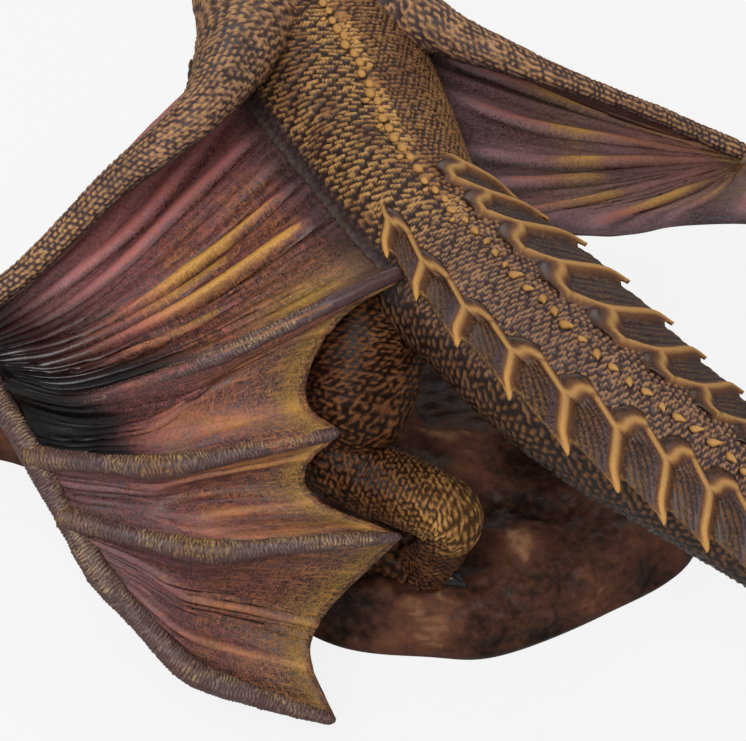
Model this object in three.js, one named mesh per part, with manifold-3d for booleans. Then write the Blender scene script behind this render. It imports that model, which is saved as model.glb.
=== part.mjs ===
// A dragon statue in painted cast resin: the beast, and the rock it crouches on.
// Millimetres. +Z is up, +Y the way the dragon faces, +X its right-hand side, z = 0 the underside.
import * as THREE from 'three';
import { mergeVertices } from 'three/addons/utils/BufferGeometryUtils.js';
import { ParametricGeometry } from 'three/addons/geometries/ParametricGeometry.js';
import Module from 'manifold-3d';

const wasm = await Module();
wasm.setup();
const { Manifold, Mesh } = wasm;

const upward = new THREE.Vector3(0, 0, 1);
const sideways = new THREE.Vector3(1, 0, 0);
const membraneThickness = 2.6;
const gap = 0.3; // clearance between the beast and its rock

// Every row is a station: x, y, z, half width, half height.
const trunk = [
  [-28, 141, 226, 7.5, 8], [-20, 134, 214, 9.5, 10.5], [-12, 126, 197, 10, 11],
  [-6, 117, 176, 11.5, 12.5], [-2, 104, 154, 14, 15], [0, 84, 136, 19, 20],
  [0, 60, 124, 26, 27], [0, 32, 117, 27, 29], [-0.5, 5, 113, 23.5, 25],
  [-1, -25, 110, 19.5, 22], [6, -56, 104, 19.5, 20.5], [17, -88, 97, 19, 19],
  [34, -112, 86, 16.5, 16], [52, -131, 72, 14, 13.5], [78, -148, 57, 11.5, 11],
  [106, -155, 45, 9, 8.6], [132, -149, 36, 6.6, 6.2], [148, -132, 33, 4.4, 4],
  [153, -112, 36, 2, 2],
];

const leftWing = {
  elbow: 3,
  arm: [[-112, 12, 91, 4.6, 4.6], [-93, 7.5, 106.5, 4.4, 4.4], [-72, 4, 128, 4.6, 4.6],
    [-49, 2, 146, 5.6, 5.6], [-27, 30, 144, 11, 9], [-13, 58, 140, 15, 12],
    [-7, 80, 132, 8, 7]],
  hand: [[-112, 12, 91, 4.8, 4.8], [-111, -8, 83, 3.6, 3.6], [-108, -26, 75, 3.8, 3.8],
    [-104, -36, 62, 3.3, 3.3], [-100, -48, 51, 3.3, 3.3]],
  inner: [[-108, -11, 87, 3, 3], [-96, -24, 88, 2.8, 2.8], [-81, -33, 95, 2.4, 2.4],
    [-64, -42.5, 105, 3.1, 3.1], [-47, -46, 112, 2.2, 2.2], [-32, -48, 117.5, 2, 2],
    [-16, -48, 121, 1.8, 1.8]],
  first: [[-109, -26, 75, 3.8, 3.8], [-96, -37, 77.5, 2.8, 2.8], [-82, -48, 80, 3.7, 3.7],
    [-67, -51.5, 81, 2.7, 2.7], [-51, -53.5, 81, 2.4, 2.4], [-36, -54, 80, 2, 2]],
  second: [[-105, -36, 62, 3.6, 3.6], [-91, -49, 61, 3, 3], [-76, -60.5, 60, 3.7, 3.7],
    [-60, -66, 60, 2.8, 2.8], [-44, -70.5, 59.5, 2.4, 2.4], [-28, -74, 58, 1.4, 1.4]],
  third: [[-100, -48, 51, 3.3, 3.3], [-93.5, -58.5, 41, 2.7, 2.7], [-84.5, -71, 30.5, 3.3, 3.3],
    [-69, -79.5, 22, 2.5, 2.5], [-52.5, -88, 15, 1.6, 1.6]],
  flank: [[0.368, 62], [0.415, 66], [0.455, 63], [0.49, 64], [0.513, 68]],
  edges: [
    [[-16, -48, 121], [-22, -50, 117.5], [-36, -49, 106], [-43, -50.5, 90], [-36, -54, 80]],
    [[-36, -54, 80], [-45.5, -56, 73], [-44.5, -61, 66], [-28, -74, 58]],
    [[-28, -74, 58], [-44.5, -73.5, 42], [-51.5, -74.5, 34], [-54.5, -78, 27], [-52.5, -88, 15]],
  ],
  sags: [7, 6, 5, 5],
};

const rightWing = {
  elbow: 4,
  arm: [[106, -3.5, 89.5, 4.4, 4.4], [87, 1, 102, 4, 4], [65, 2.5, 116.5, 4.2, 4.2],
    [45, 7, 129, 4.6, 4.6], [27, 22, 137, 6.4, 6.4], [14, 54, 138, 12, 12],
    [7, 80, 131, 8, 7]],
  hand: [[106, -3.5, 89.5, 4.6, 4.6], [124, 0, 79, 4, 4], [142, 2, 68, 4, 4],
    [152, 1, 55, 3.6, 3.6], [162, -1, 42, 3.6, 3.6]],
  inner: [[110, -5, 88, 3, 3], [128, -18, 88, 2.6, 2.6], [146, -34, 86, 3.1, 3.1],
    [160, -50, 83, 2.2, 2.2], [172, -68, 79, 1.4, 1.4]],
  first: [[142, 2, 68, 3.8, 3.8], [160, -14, 70, 2.8, 2.8], [176, -32, 67, 3.5, 3.5],
    [187, -52, 61, 2.5, 2.5], [196, -72, 53, 1.4, 1.4]],
  second: [[152, 1, 55, 3.6, 3.6], [172, -12, 54, 2.8, 2.8], [190, -27, 49, 3.4, 3.4],
    [205, -42, 41, 2.5, 2.5], [218, -57, 31, 1.4, 1.4]],
  third: [[162, -1, 42, 3.6, 3.6], [178, -6, 33, 3, 3], [193, -13, 24, 3.4, 3.4],
    [207, -23, 18, 2.6, 2.6], [219, -34, 14, 1.5, 1.5]],
  flank: [[0.375, -68], [0.43, -70], [0.475, -72], [0.515, -74]],
  trailing: [[52, -33, 100.5], [94, -31.5, 91]],
  sags: [5, 6, 5, 5],
};

const legs = {
  leftHind: [[-12, -20, 101, 14, 17], [-19, -27, 90, 18, 18], [-26, -36, 76, 18, 17],
    [-33, -39, 64, 13.5, 12.5], [-27, -50, 59, 9.4, 9.4], [-12, -66, 54, 8.6, 8.6],
    [-11, -66, 45, 6.3, 6.3], [-11, -60, 33, 6.2, 6.2], [-13, -55, 24, 6.8, 5.2]],
  rightHind: [[12, -14, 101, 14, 17], [25, -8, 90, 17, 17], [36, 2, 78, 15, 15],
    [44, 6, 66, 11, 11], [44, -10, 60, 9, 9], [42, -26, 54, 8, 8],
    [41, -26, 43, 6.2, 6.2], [41, -14, 31, 6.6, 6.6], [41, -4, 23, 7, 5]],
  leftFore: [[-15, 60, 112, 12, 15], [-26, 50, 92, 12, 12], [-33, 42, 76, 9, 9],
    [-36, 51, 58, 7.6, 7.6], [-40, 63, 38, 6, 6], [-43, 71, 24, 7, 5]],
  rightFore: [[15, 60, 112, 12, 15], [26, 52, 92, 12, 12], [33, 44, 76, 9, 9],
    [35, 54, 58, 7.6, 7.6], [36, 67, 38, 6, 6], [37, 75, 24, 7, 5]],
};

// Each paw: where it stands, which way it points in degrees from +X, and its toes' spread.
const paws = [
  { at: [-14, -54, 22.5], heading: 108, heel: [-8, -59, 22.5] },
  { at: [41, -3, 23], heading: 72, heel: [37, -14, 24] },
  { at: [-43, 72, 23], heading: 105, heel: [-38, 62, 24] },
  { at: [37, 76, 22.5], heading: 75, heel: [33, 66, 24] },
];
const toe = { reach: 19, rise: 3, radius: 3.7, spread: 38, clawRadius: 2.4 };

// Ribs of the frill down each side of the tail, by place along the trunk.
const frill = {
  left: { ribs: [0.518, 0.541, 0.569, 0.595, 0.618, 0.638, 0.659, 0.68], from: 41, turn: 5 },
  right: { ribs: [0.509, 0.529, 0.551, 0.577, 0.606, 0.633, 0.657, 0.68], from: 44, turn: 0 },
  pitch: 0.0225, last: 0.96, sweep: 0.018, reach: 9, valley: 0.62, rib: 4.2, web: 1.3,
};
const bead = { first: 0.1, last: 0.97, pitch: 12, radius: 2.3, height: 2.8 };

const rock = {
  centre: [-5, 12],
  outline: [[3, -72.5], [36, -70], [67, -61], [85, -30], [86, 10], [76, 50], [52, 84], [14, 99],
    [-30, 98], [-70, 92], [-97, 82], [-104, 68], [-90, 53], [-66, 18], [-52, -20], [-37, -50], [-15, -65]],
  // share of the outline, height
  profile: [[0.985, 0], [1, 3], [0.99, 9], [0.95, 15], [0.86, 19.6], [0.62, 22.6], [0.32, 24.2]],
  crown: 24.6,
  sides: 40,
};

const radians = THREE.MathUtils.degToRad;
const place = (row) => new THREE.Vector3(row[0], row[1], row[2]);

// A smooth run through rows of numbers, by equal steps.
function run(rows) {
  const ends = rows.length - 1;
  const beyond = (a, b) => a.map((n, i) => 2 * n - b[i]);
  const row = (k) => {
    if (k < 0) return beyond(rows[0], rows[1]);
    return k > ends ? beyond(rows[ends], rows[ends - 1]) : rows[k];
  };
  return (t) => {
    const p = THREE.MathUtils.clamp(t, 0, 1) * ends;
    const k = Math.min(Math.floor(p), ends - 1);
    const w = p - k;
    const [a, b, c, d] = [row(k - 1), row(k), row(k + 1), row(k + 2)];
    return b.map((n, i) => {
      const [start, stop] = [(c[i] - a[i]) / 2, (d[i] - n) / 2];
      const cubic = 2 * n - 2 * c[i] + start + stop;
      const square = 3 * c[i] - 3 * n - 2 * start - stop;
      return ((cubic * w + square) * w + start) * w + n;
    });
  };
}

// A point on a limb: how far along it, degrees round from its top, and height off its skin.
function limb(rows, reference = upward) {
  const along = run(rows);
  return (t, degrees, lift = 0) => {
    const here = along(t);
    const ahead = place(along(Math.min(1, t + 0.001)));
    const way = ahead.sub(place(along(Math.max(0, t - 0.001)))).normalize();
    const side = way.clone().cross(reference).normalize();
    const up = side.clone().cross(way);
    const angle = radians(degrees);
    return place(here).addScaledVector(up, (here[4] + lift) * Math.cos(angle))
      .addScaledVector(side, (here[3] + lift) * Math.sin(angle));
  };
}

function solid(geometry) {
  geometry.deleteAttribute('normal');
  geometry.deleteAttribute('uv');
  const merged = mergeVertices(geometry, 1e-4);
  const corners = merged.index.array;
  const kept = [];
  for (let i = 0; i < corners.length; i += 3) {
    const [a, b, c] = [corners[i], corners[i + 1], corners[i + 2]];
    if (a !== b && b !== c && c !== a) kept.push(a, b, c);
  }
  const at = merged.attributes.position;
  const corner = (i) => new THREE.Vector3().fromBufferAttribute(at, i);
  let volume = 0;
  for (let i = 0; i < kept.length; i += 3) {
    volume += corner(kept[i]).dot(corner(kept[i + 1]).cross(corner(kept[i + 2])));
  }
  if (volume < 0) kept.reverse();
  return new Manifold(new Mesh({
    numProp: 3, vertProperties: new Float32Array(at.array), triVerts: new Uint32Array(kept),
  }));
}

// A closed limb: rings of the limb's skin, drawn in to a point at either end.
function tube(rows, rings, sides, reference = upward) {
  const skin = limb(rows, reference);
  return solid(new ParametricGeometry((u, v, out) => {
    const t = THREE.MathUtils.clamp((u * rings - 1) / (rings - 2), 0, 1);
    const closed = u < 0.5 / rings || u > 1 - 0.5 / rings;
    const round = 360 * (v > 1 - 1e-6 ? 0 : v);
    if (closed) out.copy(skin(t, 0).add(skin(t, 180)).multiplyScalar(0.5));
    else out.copy(skin(t, round));
  }, rings, sides));
}

function cone(from, to, radius, sides) {
  const [start, stop] = [from.clone(), to.clone()];
  const length = start.distanceTo(stop);
  const shape = new THREE.ConeGeometry(radius, length, sides);
  shape.translate(0, length / 2, 0);
  const turn = new THREE.Quaternion().setFromUnitVectors(
    new THREE.Vector3(0, 1, 0), stop.sub(start).normalize());
  shape.applyQuaternion(turn).translate(start.x, start.y, start.z);
  return solid(shape);
}

function ball(centre, sizes, across = 10, up = 7) {
  const shape = new THREE.SphereGeometry(1, across, up);
  return solid(shape.scale(...sizes).translate(...centre));
}

// A sheet over a surface of u and v, of one thickness or of one that varies.
function slab(surface, across, along, thickness) {
  const thick = typeof thickness === 'function' ? thickness : () => thickness;
  const shape = new THREE.BoxGeometry(1, 1, 1, across, along, 1);
  const at = shape.attributes.position;
  const normal = (u, v) => {
    const [a, b] = [Math.min(0.97, Math.max(0.03, u)), Math.min(0.97, Math.max(0.03, v))];
    const du = surface(a + 0.02, b).sub(surface(a - 0.02, b));
    const dv = surface(a, b + 0.02).sub(surface(a, b - 0.02));
    return du.cross(dv).normalize();
  };
  for (let i = 0; i < at.count; i += 1) {
    const [u, v, w] = [at.getX(i) + 0.5, at.getY(i) + 0.5, at.getZ(i)];
    const point = surface(u, v).addScaledVector(normal(u, v), thick(u, v) * w);
    at.setXYZ(i, point.x, point.y, point.z);
  }
  return solid(shape);
}

// The skin stretched between two bones, from the hand out to a free or fixed edge.
function membrane(lead, trail, edge, sag, folds, depth) {
  const [bone, spar] = [run(lead), run(trail)];
  const far = run([lead[lead.length - 1].slice(0, 3), ...edge, trail[trail.length - 1].slice(0, 3)]);
  const near = run([lead[0], trail[0]]);
  const flat = (u, v) => {
    const out = new THREE.Vector3();
    out.addScaledVector(place(bone(v)), 1 - u).addScaledVector(place(spar(v)), u);
    out.addScaledVector(place(near(u)), 1 - v).addScaledVector(place(far(u)), v);
    out.addScaledVector(place(lead[0]), -(1 - u) * (1 - v));
    out.addScaledVector(place(trail[0]), -u * (1 - v));
    out.addScaledVector(place(lead[lead.length - 1]), -(1 - u) * v);
    return out.addScaledVector(place(trail[trail.length - 1]), -u * v);
  };
  return (u, v) => {
    const [a, b] = [Math.min(0.98, Math.max(0.02, u)), Math.min(0.98, Math.max(0.02, v))];
    const normal = flat(a + 0.02, b).sub(flat(a - 0.02, b))
      .cross(flat(a, b + 0.02).sub(flat(a, b - 0.02))).normalize();
    if (normal.z < 0) normal.negate();
    const slack = Math.sin(Math.PI * Math.min(1, Math.max(0, u)));
    const open = Math.sin(Math.PI * Math.min(1, Math.max(0, 0.1 + 0.75 * v)));
    const fold = depth * slack * open * -Math.cos(2 * Math.PI * folds * u);
    return flat(u, v).addScaledVector(normal, fold - sag * slack * open);
  };
}

const back = limb(trunk);
const fixed = ([t, degrees]) => back(t, degrees, -1.5).toArray();

// The free edge between two fingertips, drawn in toward the hand.
function scallop(lead, trail, depth) {
  const [tip, next] = [place(lead[lead.length - 1]), place(trail[trail.length - 1])];
  const hand = place(lead[0]).add(place(trail[0])).multiplyScalar(0.5);
  return [0.25, 0.5, 0.75].map((u) => {
    const point = tip.clone().lerp(next, u);
    return point.lerp(hand, depth * Math.sin(Math.PI * u)).toArray();
  });
}

// One wing: a single sheet from forearm to last finger, thick along each finger bone.
function wing(bones) {
  const { arm, hand, inner, first, second, third } = bones;
  const forearm = arm.slice(0, bones.elbow + 1);
  const fixedEdge = [...bones.flank.map(fixed), ...(bones.trailing ?? [])];
  const free = (k, lead, trail) => (
    bones.edges ? bones.edges[k].slice(1, -1) : scallop(lead, trail, 0.36));
  const spars = [forearm, inner, first, second, third];
  const sheets = [
    membrane(forearm, inner, fixedEdge, bones.sags[0], 6, 2),
    membrane(inner, first, free(0, inner, first), bones.sags[1], 2, 1),
    membrane(first, second, free(1, first, second), bones.sags[2], 1.5, 0.9),
    membrane(second, third, free(2, second, third), bones.sags[3], 1.5, 0.9),
  ];
  const columns = Array.from({ length: 12 }, (_, i) => i / 12);
  for (const k of [1, 2, 3]) columns.push(k, k + 0.14, k + 0.5, k + 0.86);
  columns.push(4);
  const last = columns.length - 1;
  const across = (u) => {
    const i = Math.min(last - 1, Math.floor(THREE.MathUtils.clamp(u, 0, 1) * last + 1e-6));
    return THREE.MathUtils.lerp(columns[i], columns[i + 1], u * last - i);
  };
  const surface = (u, v) => {
    const place = across(u);
    const k = Math.min(3, Math.floor(place + 1e-6));
    return sheets[k](place - k, v);
  };
  const thick = (u, v) => {
    const place = across(u);
    const k = Math.round(place);
    const bone = k > 0 && Math.abs(place - k) < 0.01;
    return bone ? 2.1 * run(spars[k])(v)[3] : membraneThickness;
  };
  return [
    slab(surface, last, 6, thick), tube(arm, 14, 8),
    tube([...hand.slice(0, -1), ...third], 14, 7),
    ball(hand[0].slice(0, 3), [5.4, 5.4, 5.2], 8, 5),
  ];
}

function paw({ at, heading, heel }) {
  const centre = new THREE.Vector3(...at);
  const pieces = [];
  for (const turn of [-toe.spread, 0, toe.spread]) {
    const way = radians(heading + turn);
    const out = new THREE.Vector3(Math.cos(way), Math.sin(way), 0);
    const step = (share, lift) => centre.clone().addScaledVector(out, toe.reach * share)
      .add(new THREE.Vector3(0, 0, lift)).toArray();
    pieces.push(tube([[...step(0.1, 1), 4.4, 4.2], [...step(0.5, toe.rise), 3.6, 3.6],
      [...step(0.95, 0.6), toe.radius, 3.4], [...step(1.15, 0.4), toe.clawRadius, toe.clawRadius],
      [...step(1.42, -1.6), 0.5, 0.5]], 6, 5));
  }
  const spur = place(heel);
  const beyond = spur.clone().addScaledVector(spur.clone().sub(centre).setZ(0).normalize(), 6);
  pieces.push(tube([[at[0], at[1], at[2] + 3, 4.5, 4.5],
    [...spur.clone().lerp(centre, 0.4).setZ(at[2] + 2.4).toArray(), 3.6, 3.6],
    [...heel, 2.8, 2.8], [beyond.x, beyond.y, heel[2] - 2, 0.5, 0.5]], 5, 5));
  return pieces;
}

// Where the frill's edge stands: reach is 0 at its foot on the tail and 1 at a rib's tip.
function frillPoint(side, t, reach) {
  const { from, turn } = frill[side];
  const sign = side === 'left' ? 1 : -1;
  const size = run(trunk)(t)[3] / 19;
  const start = THREE.MathUtils.smoothstep(t, 0.49, 0.57);
  const spread = side === 'left' ? 45 + 30 * THREE.MathUtils.smoothstep(t, 0.52, 0.67) : 67;
  const degrees = THREE.MathUtils.lerp(from + turn * start, spread, reach);
  const lift = -1.2 + (1.2 + frill.reach * size * (0.35 + 0.65 * start)) * reach;
  return back(Math.min(1, t + frill.sweep * (reach - 1)), sign * degrees, lift);
}

function ribPlaces(side) {
  const places = [...frill[side].ribs];
  while (places[places.length - 1] + frill.pitch < frill.last) {
    places.push(places[places.length - 1] + frill.pitch);
  }
  return places;
}

function tailFrill(side) {
  const ribs = ribPlaces(side);
  const spans = ribs.length - 1;
  const between = (u) => {
    const k = Math.min(spans - 1, Math.max(0, Math.floor(u * spans + 1e-6)));
    return [k, THREE.MathUtils.clamp(u * spans - k, 0, 1)];
  };
  const surface = (u, v) => {
    const [k, w] = between(u);
    const reach = w < 0.01 || w > 0.99 ? 1.06 : frill.valley;
    return frillPoint(side, THREE.MathUtils.lerp(ribs[k], ribs[k + 1], w), v * reach);
  };
  const thick = (u, v) => {
    const [, w] = between(u);
    return w < 0.01 || w > 0.99 ? frill.rib * (1 - 0.6 * v) : frill.web;
  };
  return slab(surface, 3 * spans, 1, thick);
}

function spineBeads() {
  const path = run(trunk);
  const pieces = [];
  let walked = bead.pitch;
  let last = place(path(bead.first));
  for (let t = bead.first; t < bead.last; t += 0.001) {
    const here = place(path(t));
    walked += here.distanceTo(last);
    last = here;
    const size = Math.min(1, 0.35 + path(t)[3] / 24);
    if (walked >= bead.pitch * (0.7 + 0.3 * size)) {
      walked = 0;
      const lean = 4 + 10 * THREE.MathUtils.smoothstep(t, 0.55, 0.66);
      pieces.push(cone(back(t, lean, -1.5), back(t + 0.004, lean, bead.height * size),
        bead.radius * size * 1.5, 4));
    }
  }
  return pieces;
}

// The head: its own frame runs forward along the snout from the joint with the neck.
function head() {
  const forward = new THREE.Vector3(-0.5, 0.82, -0.28).normalize();
  const across = forward.clone().cross(upward).normalize();
  const crown = across.clone().cross(forward);
  const origin = new THREE.Vector3(-29, 143, 228);
  const at = (ahead, right, up) => origin.clone().addScaledVector(forward, ahead)
    .addScaledVector(across, right).addScaledVector(crown, up);
  const row = (ahead, right, up, half, high) => [...at(ahead, right, up).toArray(), half, high];
  const pieces = [
    tube([row(-8, 0, -1, 7.5, 8), row(2, 0, 0, 10, 9.5), row(12, 0, 1, 10.5, 9),
      row(22, 0, 0.5, 8, 7), row(34, 0, -0.5, 6.4, 5), row(44, 0, -1, 5.6, 4.6),
      row(49, 0, -2, 3, 2.4)], 11, 10),
    tube([row(2, 0, -7, 7, 4), row(16, 0, -9, 6.2, 3.4), row(30, 0, -11.5, 4.6, 2.6),
      row(42, 0, -13, 3.4, 2)], 6, 6),
  ];
  for (const side of [-1, 1]) {
    pieces.push(tube([row(4, 6 * side, 6, 3.6, 3.6), row(-6, 10 * side, 12, 3.2, 3.2),
      row(-18, 12 * side, 15, 2.4, 2.4), row(-30, 11 * side, 21, 0.8, 0.8)], 6, 5));
    pieces.push(tube([row(8, 6 * side, 7, 2.2, 2.2), row(15, 7.6 * side, 8.2, 2.6, 2.2),
      row(23, 6 * side, 5.5, 1.8, 1.6)], 5, 5));
    pieces.push(ball(at(43, 3 * side, 3).toArray(), [2.2, 2.2, 2], 5, 4));
    for (const [ahead, up] of [[2, -2], [4, -7]]) {
      pieces.push(cone(at(ahead, 7 * side, up), at(ahead - 12, 15 * side, up + 1), 3, 5));
    }
    for (const ahead of [26, 33, 40]) {
      pieces.push(cone(at(ahead, 4.6 * side, -3), at(ahead + 0.5, 4.4 * side, -8.5), 1.3, 4));
    }
  }
  pieces.push(cone(at(44, 0, 2), at(41, 0, 8.5), 2.4, 5));
  return pieces;
}

function rockBase() {
  const closed = [...rock.outline.slice(-2), ...rock.outline, ...rock.outline.slice(0, 3)];
  const path = run(closed);
  const span = closed.length - 1;
  const rim = (turn) => path((2 + (turn % 1) * rock.outline.length) / span);
  const [cx, cy] = rock.centre;
  const rows = rock.profile.length + 1;
  return solid(new ParametricGeometry((u, v, out) => {
    const k = Math.round(u * rows);
    const turn = v > 1 - 1e-6 ? 0 : v;
    if (k === 0) return out.set(cx, cy, 0);
    if (k === rows) return out.set(cx, cy, rock.crown);
    const [share, height] = rock.profile[k - 1];
    const [x, y] = rim(turn);
    const angle = 2 * Math.PI * turn;
    const rough = height < 4 ? 0 : 0.012 * Math.sin(7 * angle + k) + 0.009 * Math.sin(13 * angle);
    const swell = height < 12 ? 0 : 0.7 * Math.sin(5 * angle + 2 * k) + 0.5 * Math.sin(11 * angle);
    return out.set(cx + (x - cx) * (share + rough), cy + (y - cy) * (share + rough), height + swell);
  }, rows, rock.sides));
}

function mesh(name, shape, colour) {
  const { vertProperties, triVerts } = shape.getMesh();
  const geometry = new THREE.BufferGeometry();
  geometry.setAttribute('position', new THREE.BufferAttribute(new Float32Array(vertProperties), 3));
  geometry.setIndex(new THREE.BufferAttribute(new Uint32Array(triVerts), 1));
  geometry.computeVertexNormals();
  const part = new THREE.Mesh(geometry, new THREE.MeshStandardMaterial({ color: colour, roughness: 0.6 }));
  part.name = name;
  return part;
}

const base = rockBase();
const cast = Manifold.union([
  tube(trunk, 40, 14), ...head(), ...wing(leftWing), ...wing(rightWing),
  tube(legs.leftHind, 14, 9, sideways), tube(legs.rightHind, 12, 8, sideways),
  tube(legs.leftFore, 10, 8, sideways), tube(legs.rightFore, 10, 8, sideways),
  ...paws.flatMap(paw), tailFrill('left'), tailFrill('right'), ...spineBeads(),
]);
const beast = cast.subtract(base.translate([0, 0, gap])).simplify(0.05);

const statue = new THREE.Group();
statue.name = 'dragon_statue';
statue.add(mesh('dragon', beast, 0x5a3f28), mesh('rock_base', base, 0x4a2b1c));
export default statue;
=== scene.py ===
"""The looks of a painted resin dragon statue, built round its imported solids."""
import math

import bpy
import numpy as np
from bpy.props import FloatProperty, FloatVectorProperty, PointerProperty
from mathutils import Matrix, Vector


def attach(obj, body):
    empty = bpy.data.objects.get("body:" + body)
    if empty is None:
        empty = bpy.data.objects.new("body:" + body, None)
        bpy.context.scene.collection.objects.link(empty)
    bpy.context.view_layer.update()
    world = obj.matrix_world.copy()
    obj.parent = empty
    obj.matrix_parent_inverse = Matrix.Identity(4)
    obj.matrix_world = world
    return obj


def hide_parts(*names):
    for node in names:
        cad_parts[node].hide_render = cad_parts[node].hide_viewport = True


bl_info = {
    "name": "Resin dragon statue",
    "version": (1, 0, 0),
    "blender": (4, 5, 0),
    "location": "View3D > Sidebar > Dragon",
    "description": "Sculpts and paints a resin dragon on its rock",
    "category": "Add Mesh",
}

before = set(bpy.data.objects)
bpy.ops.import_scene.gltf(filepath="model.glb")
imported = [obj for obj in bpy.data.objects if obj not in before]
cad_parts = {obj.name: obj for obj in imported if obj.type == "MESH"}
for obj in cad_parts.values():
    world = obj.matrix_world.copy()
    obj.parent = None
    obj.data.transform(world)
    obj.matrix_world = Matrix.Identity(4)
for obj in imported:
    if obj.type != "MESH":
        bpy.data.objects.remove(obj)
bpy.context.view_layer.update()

MM = 0.001
UP = np.array([0.0, 0.0, 1.0])
ACROSS = np.array([1.0, 0.0, 0.0])
# Out of the wings' upper sides, towards the camera.
FACING = np.array([-0.31, -0.70, 0.64])

# The forms below are the solids' own, in millimetres: x, y, z, half width and half height.
TRUNK = [
    (-28, 141, 226, 7.5, 8), (-20, 134, 214, 9.5, 10.5), (-12, 126, 197, 10, 11),
    (-6, 117, 176, 11.5, 12.5), (-2, 104, 154, 14, 15), (0, 84, 136, 19, 20),
    (0, 60, 124, 26, 27), (0, 32, 117, 27, 29), (-0.5, 5, 113, 23.5, 25),
    (-1, -25, 110, 19.5, 22), (6, -56, 104, 19.5, 20.5), (17, -88, 97, 19, 19),
    (34, -112, 86, 16.5, 16), (52, -131, 72, 14, 13.5), (78, -148, 57, 11.5, 11),
    (106, -155, 45, 9, 8.6), (132, -149, 36, 6.6, 6.2), (148, -132, 33, 4.4, 4),
    (153, -112, 36, 2, 2),
]
# The elbow is the row of the arm where the forearm ends.
# A wing's flank is where its first web meets the body, as a share of the trunk and degrees round
# it, and its trailing points go on from there. The edges are points on the free edges of the other
# webs, which scallop makes where none are given, and the sags are how far each web hangs. A grid
# is the points across and along a web, and a skin its step and its points round. Slimming is what
# slim takes after the rows, with the way outward, away from the webs.
LEFT_WING = {
    "elbow": 3,
    "arm": [(-112, 12, 91, 4.6, 4.6), (-93, 7.5, 106.5, 4.4, 4.4), (-72, 4, 128, 4.6, 4.6),
            (-49, 2, 146, 5.6, 5.6), (-27, 30, 144, 11, 9), (-13, 58, 140, 15, 12),
            (-7, 80, 132, 8, 7)],
    "hand": [(-112, 12, 91, 4.8, 4.8), (-111, -8, 83, 3.6, 3.6), (-108, -26, 75, 3.8, 3.8),
             (-104, -36, 62, 3.3, 3.3), (-100, -48, 51, 3.3, 3.3)],
    "inner": [(-108, -11, 87, 3, 3), (-96, -24, 88, 2.8, 2.8), (-81, -33, 95, 2.4, 2.4),
              (-64, -42.5, 105, 3.1, 3.1), (-47, -46, 112, 2.2, 2.2),
              (-32, -48, 117.5, 2, 2), (-16, -48, 121, 1.8, 1.8)],
    "first": [(-109, -26, 75, 3.8, 3.8), (-96, -37, 77.5, 2.8, 2.8), (-82, -48, 80, 3.7, 3.7),
              (-67, -51.5, 81, 2.7, 2.7), (-51, -53.5, 81, 2.4, 2.4), (-36, -54, 80, 2, 2)],
    "second": [(-105, -36, 62, 3.6, 3.6), (-91, -49, 61, 3, 3), (-76, -60.5, 60, 3.7, 3.7),
               (-60, -66, 60, 2.8, 2.8), (-44, -70.5, 59.5, 2.4, 2.4), (-28, -74, 58, 1.4, 1.4)],
    "third": [(-100, -48, 51, 3.3, 3.3), (-93.5, -58.5, 41, 2.7, 2.7),
              (-84.5, -71, 30.5, 3.3, 3.3), (-69, -79.5, 22, 2.5, 2.5),
              (-52.5, -88, 15, 1.6, 1.6)],
    "flank": [(0.368, 62), (0.415, 66), (0.455, 63), (0.49, 64), (0.513, 68)],
    "trailing": [],
    "edges": [
        [(-22, -50, 117.5), (-36, -49, 106), (-43, -50.5, 90)],
        [(-45.5, -56, 73), (-44.5, -61, 66)],
        [(-44.5, -73.5, 42), (-51.5, -74.5, 34), (-54.5, -78, 27)],
    ],
    "sags": (7, 6, 5, 5),
    "grids": [(176, 150)] + [(72, 100)] * 3,
    "slimming": (0.68, (-0.452, 0.705, 0.548), 1),
    "arm_skin": (0.65, 60),
    "finger_skin": (0.4, 30),
}
RIGHT_WING = {
    "elbow": 4,
    "arm": [(106, -3.5, 89.5, 4.4, 4.4), (87, 1, 102, 4, 4), (65, 2.5, 116.5, 4.2, 4.2),
            (45, 7, 129, 4.6, 4.6), (27, 22, 137, 6.4, 6.4), (14, 54, 138, 12, 12),
            (7, 80, 131, 8, 7)],
    "hand": [(106, -3.5, 89.5, 4.6, 4.6), (124, 0, 79, 4, 4), (142, 2, 68, 4, 4),
             (152, 1, 55, 3.6, 3.6), (162, -1, 42, 3.6, 3.6)],
    "inner": [(110, -5, 88, 3, 3), (128, -18, 88, 2.6, 2.6), (146, -34, 86, 3.1, 3.1),
              (160, -50, 83, 2.2, 2.2), (172, -68, 79, 1.4, 1.4)],
    "first": [(142, 2, 68, 3.8, 3.8), (160, -14, 70, 2.8, 2.8), (176, -32, 67, 3.5, 3.5),
              (187, -52, 61, 2.5, 2.5), (196, -72, 53, 1.4, 1.4)],
    "second": [(152, 1, 55, 3.6, 3.6), (172, -12, 54, 2.8, 2.8), (190, -27, 49, 3.4, 3.4),
               (205, -42, 41, 2.5, 2.5), (218, -57, 31, 1.4, 1.4)],
    "third": [(162, -1, 42, 3.6, 3.6), (178, -6, 33, 3, 3), (193, -13, 24, 3.4, 3.4),
              (207, -23, 18, 2.6, 2.6), (219, -34, 14, 1.5, 1.5)],
    "flank": [(0.375, -68), (0.43, -70), (0.475, -72), (0.515, -74)],
    "trailing": [(52, -33, 100.5), (94, -31.5, 91)],
    "edges": None,
    "sags": (5, 6, 5, 5),
    "grids": [(126, 120)] + [(50, 66)] * 3,
    "slimming": (0.55, (0.587, 0.39, 0.709), 2),
    "arm_skin": (0.85, 50),
    "finger_skin": (0.55, 20),
}
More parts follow.
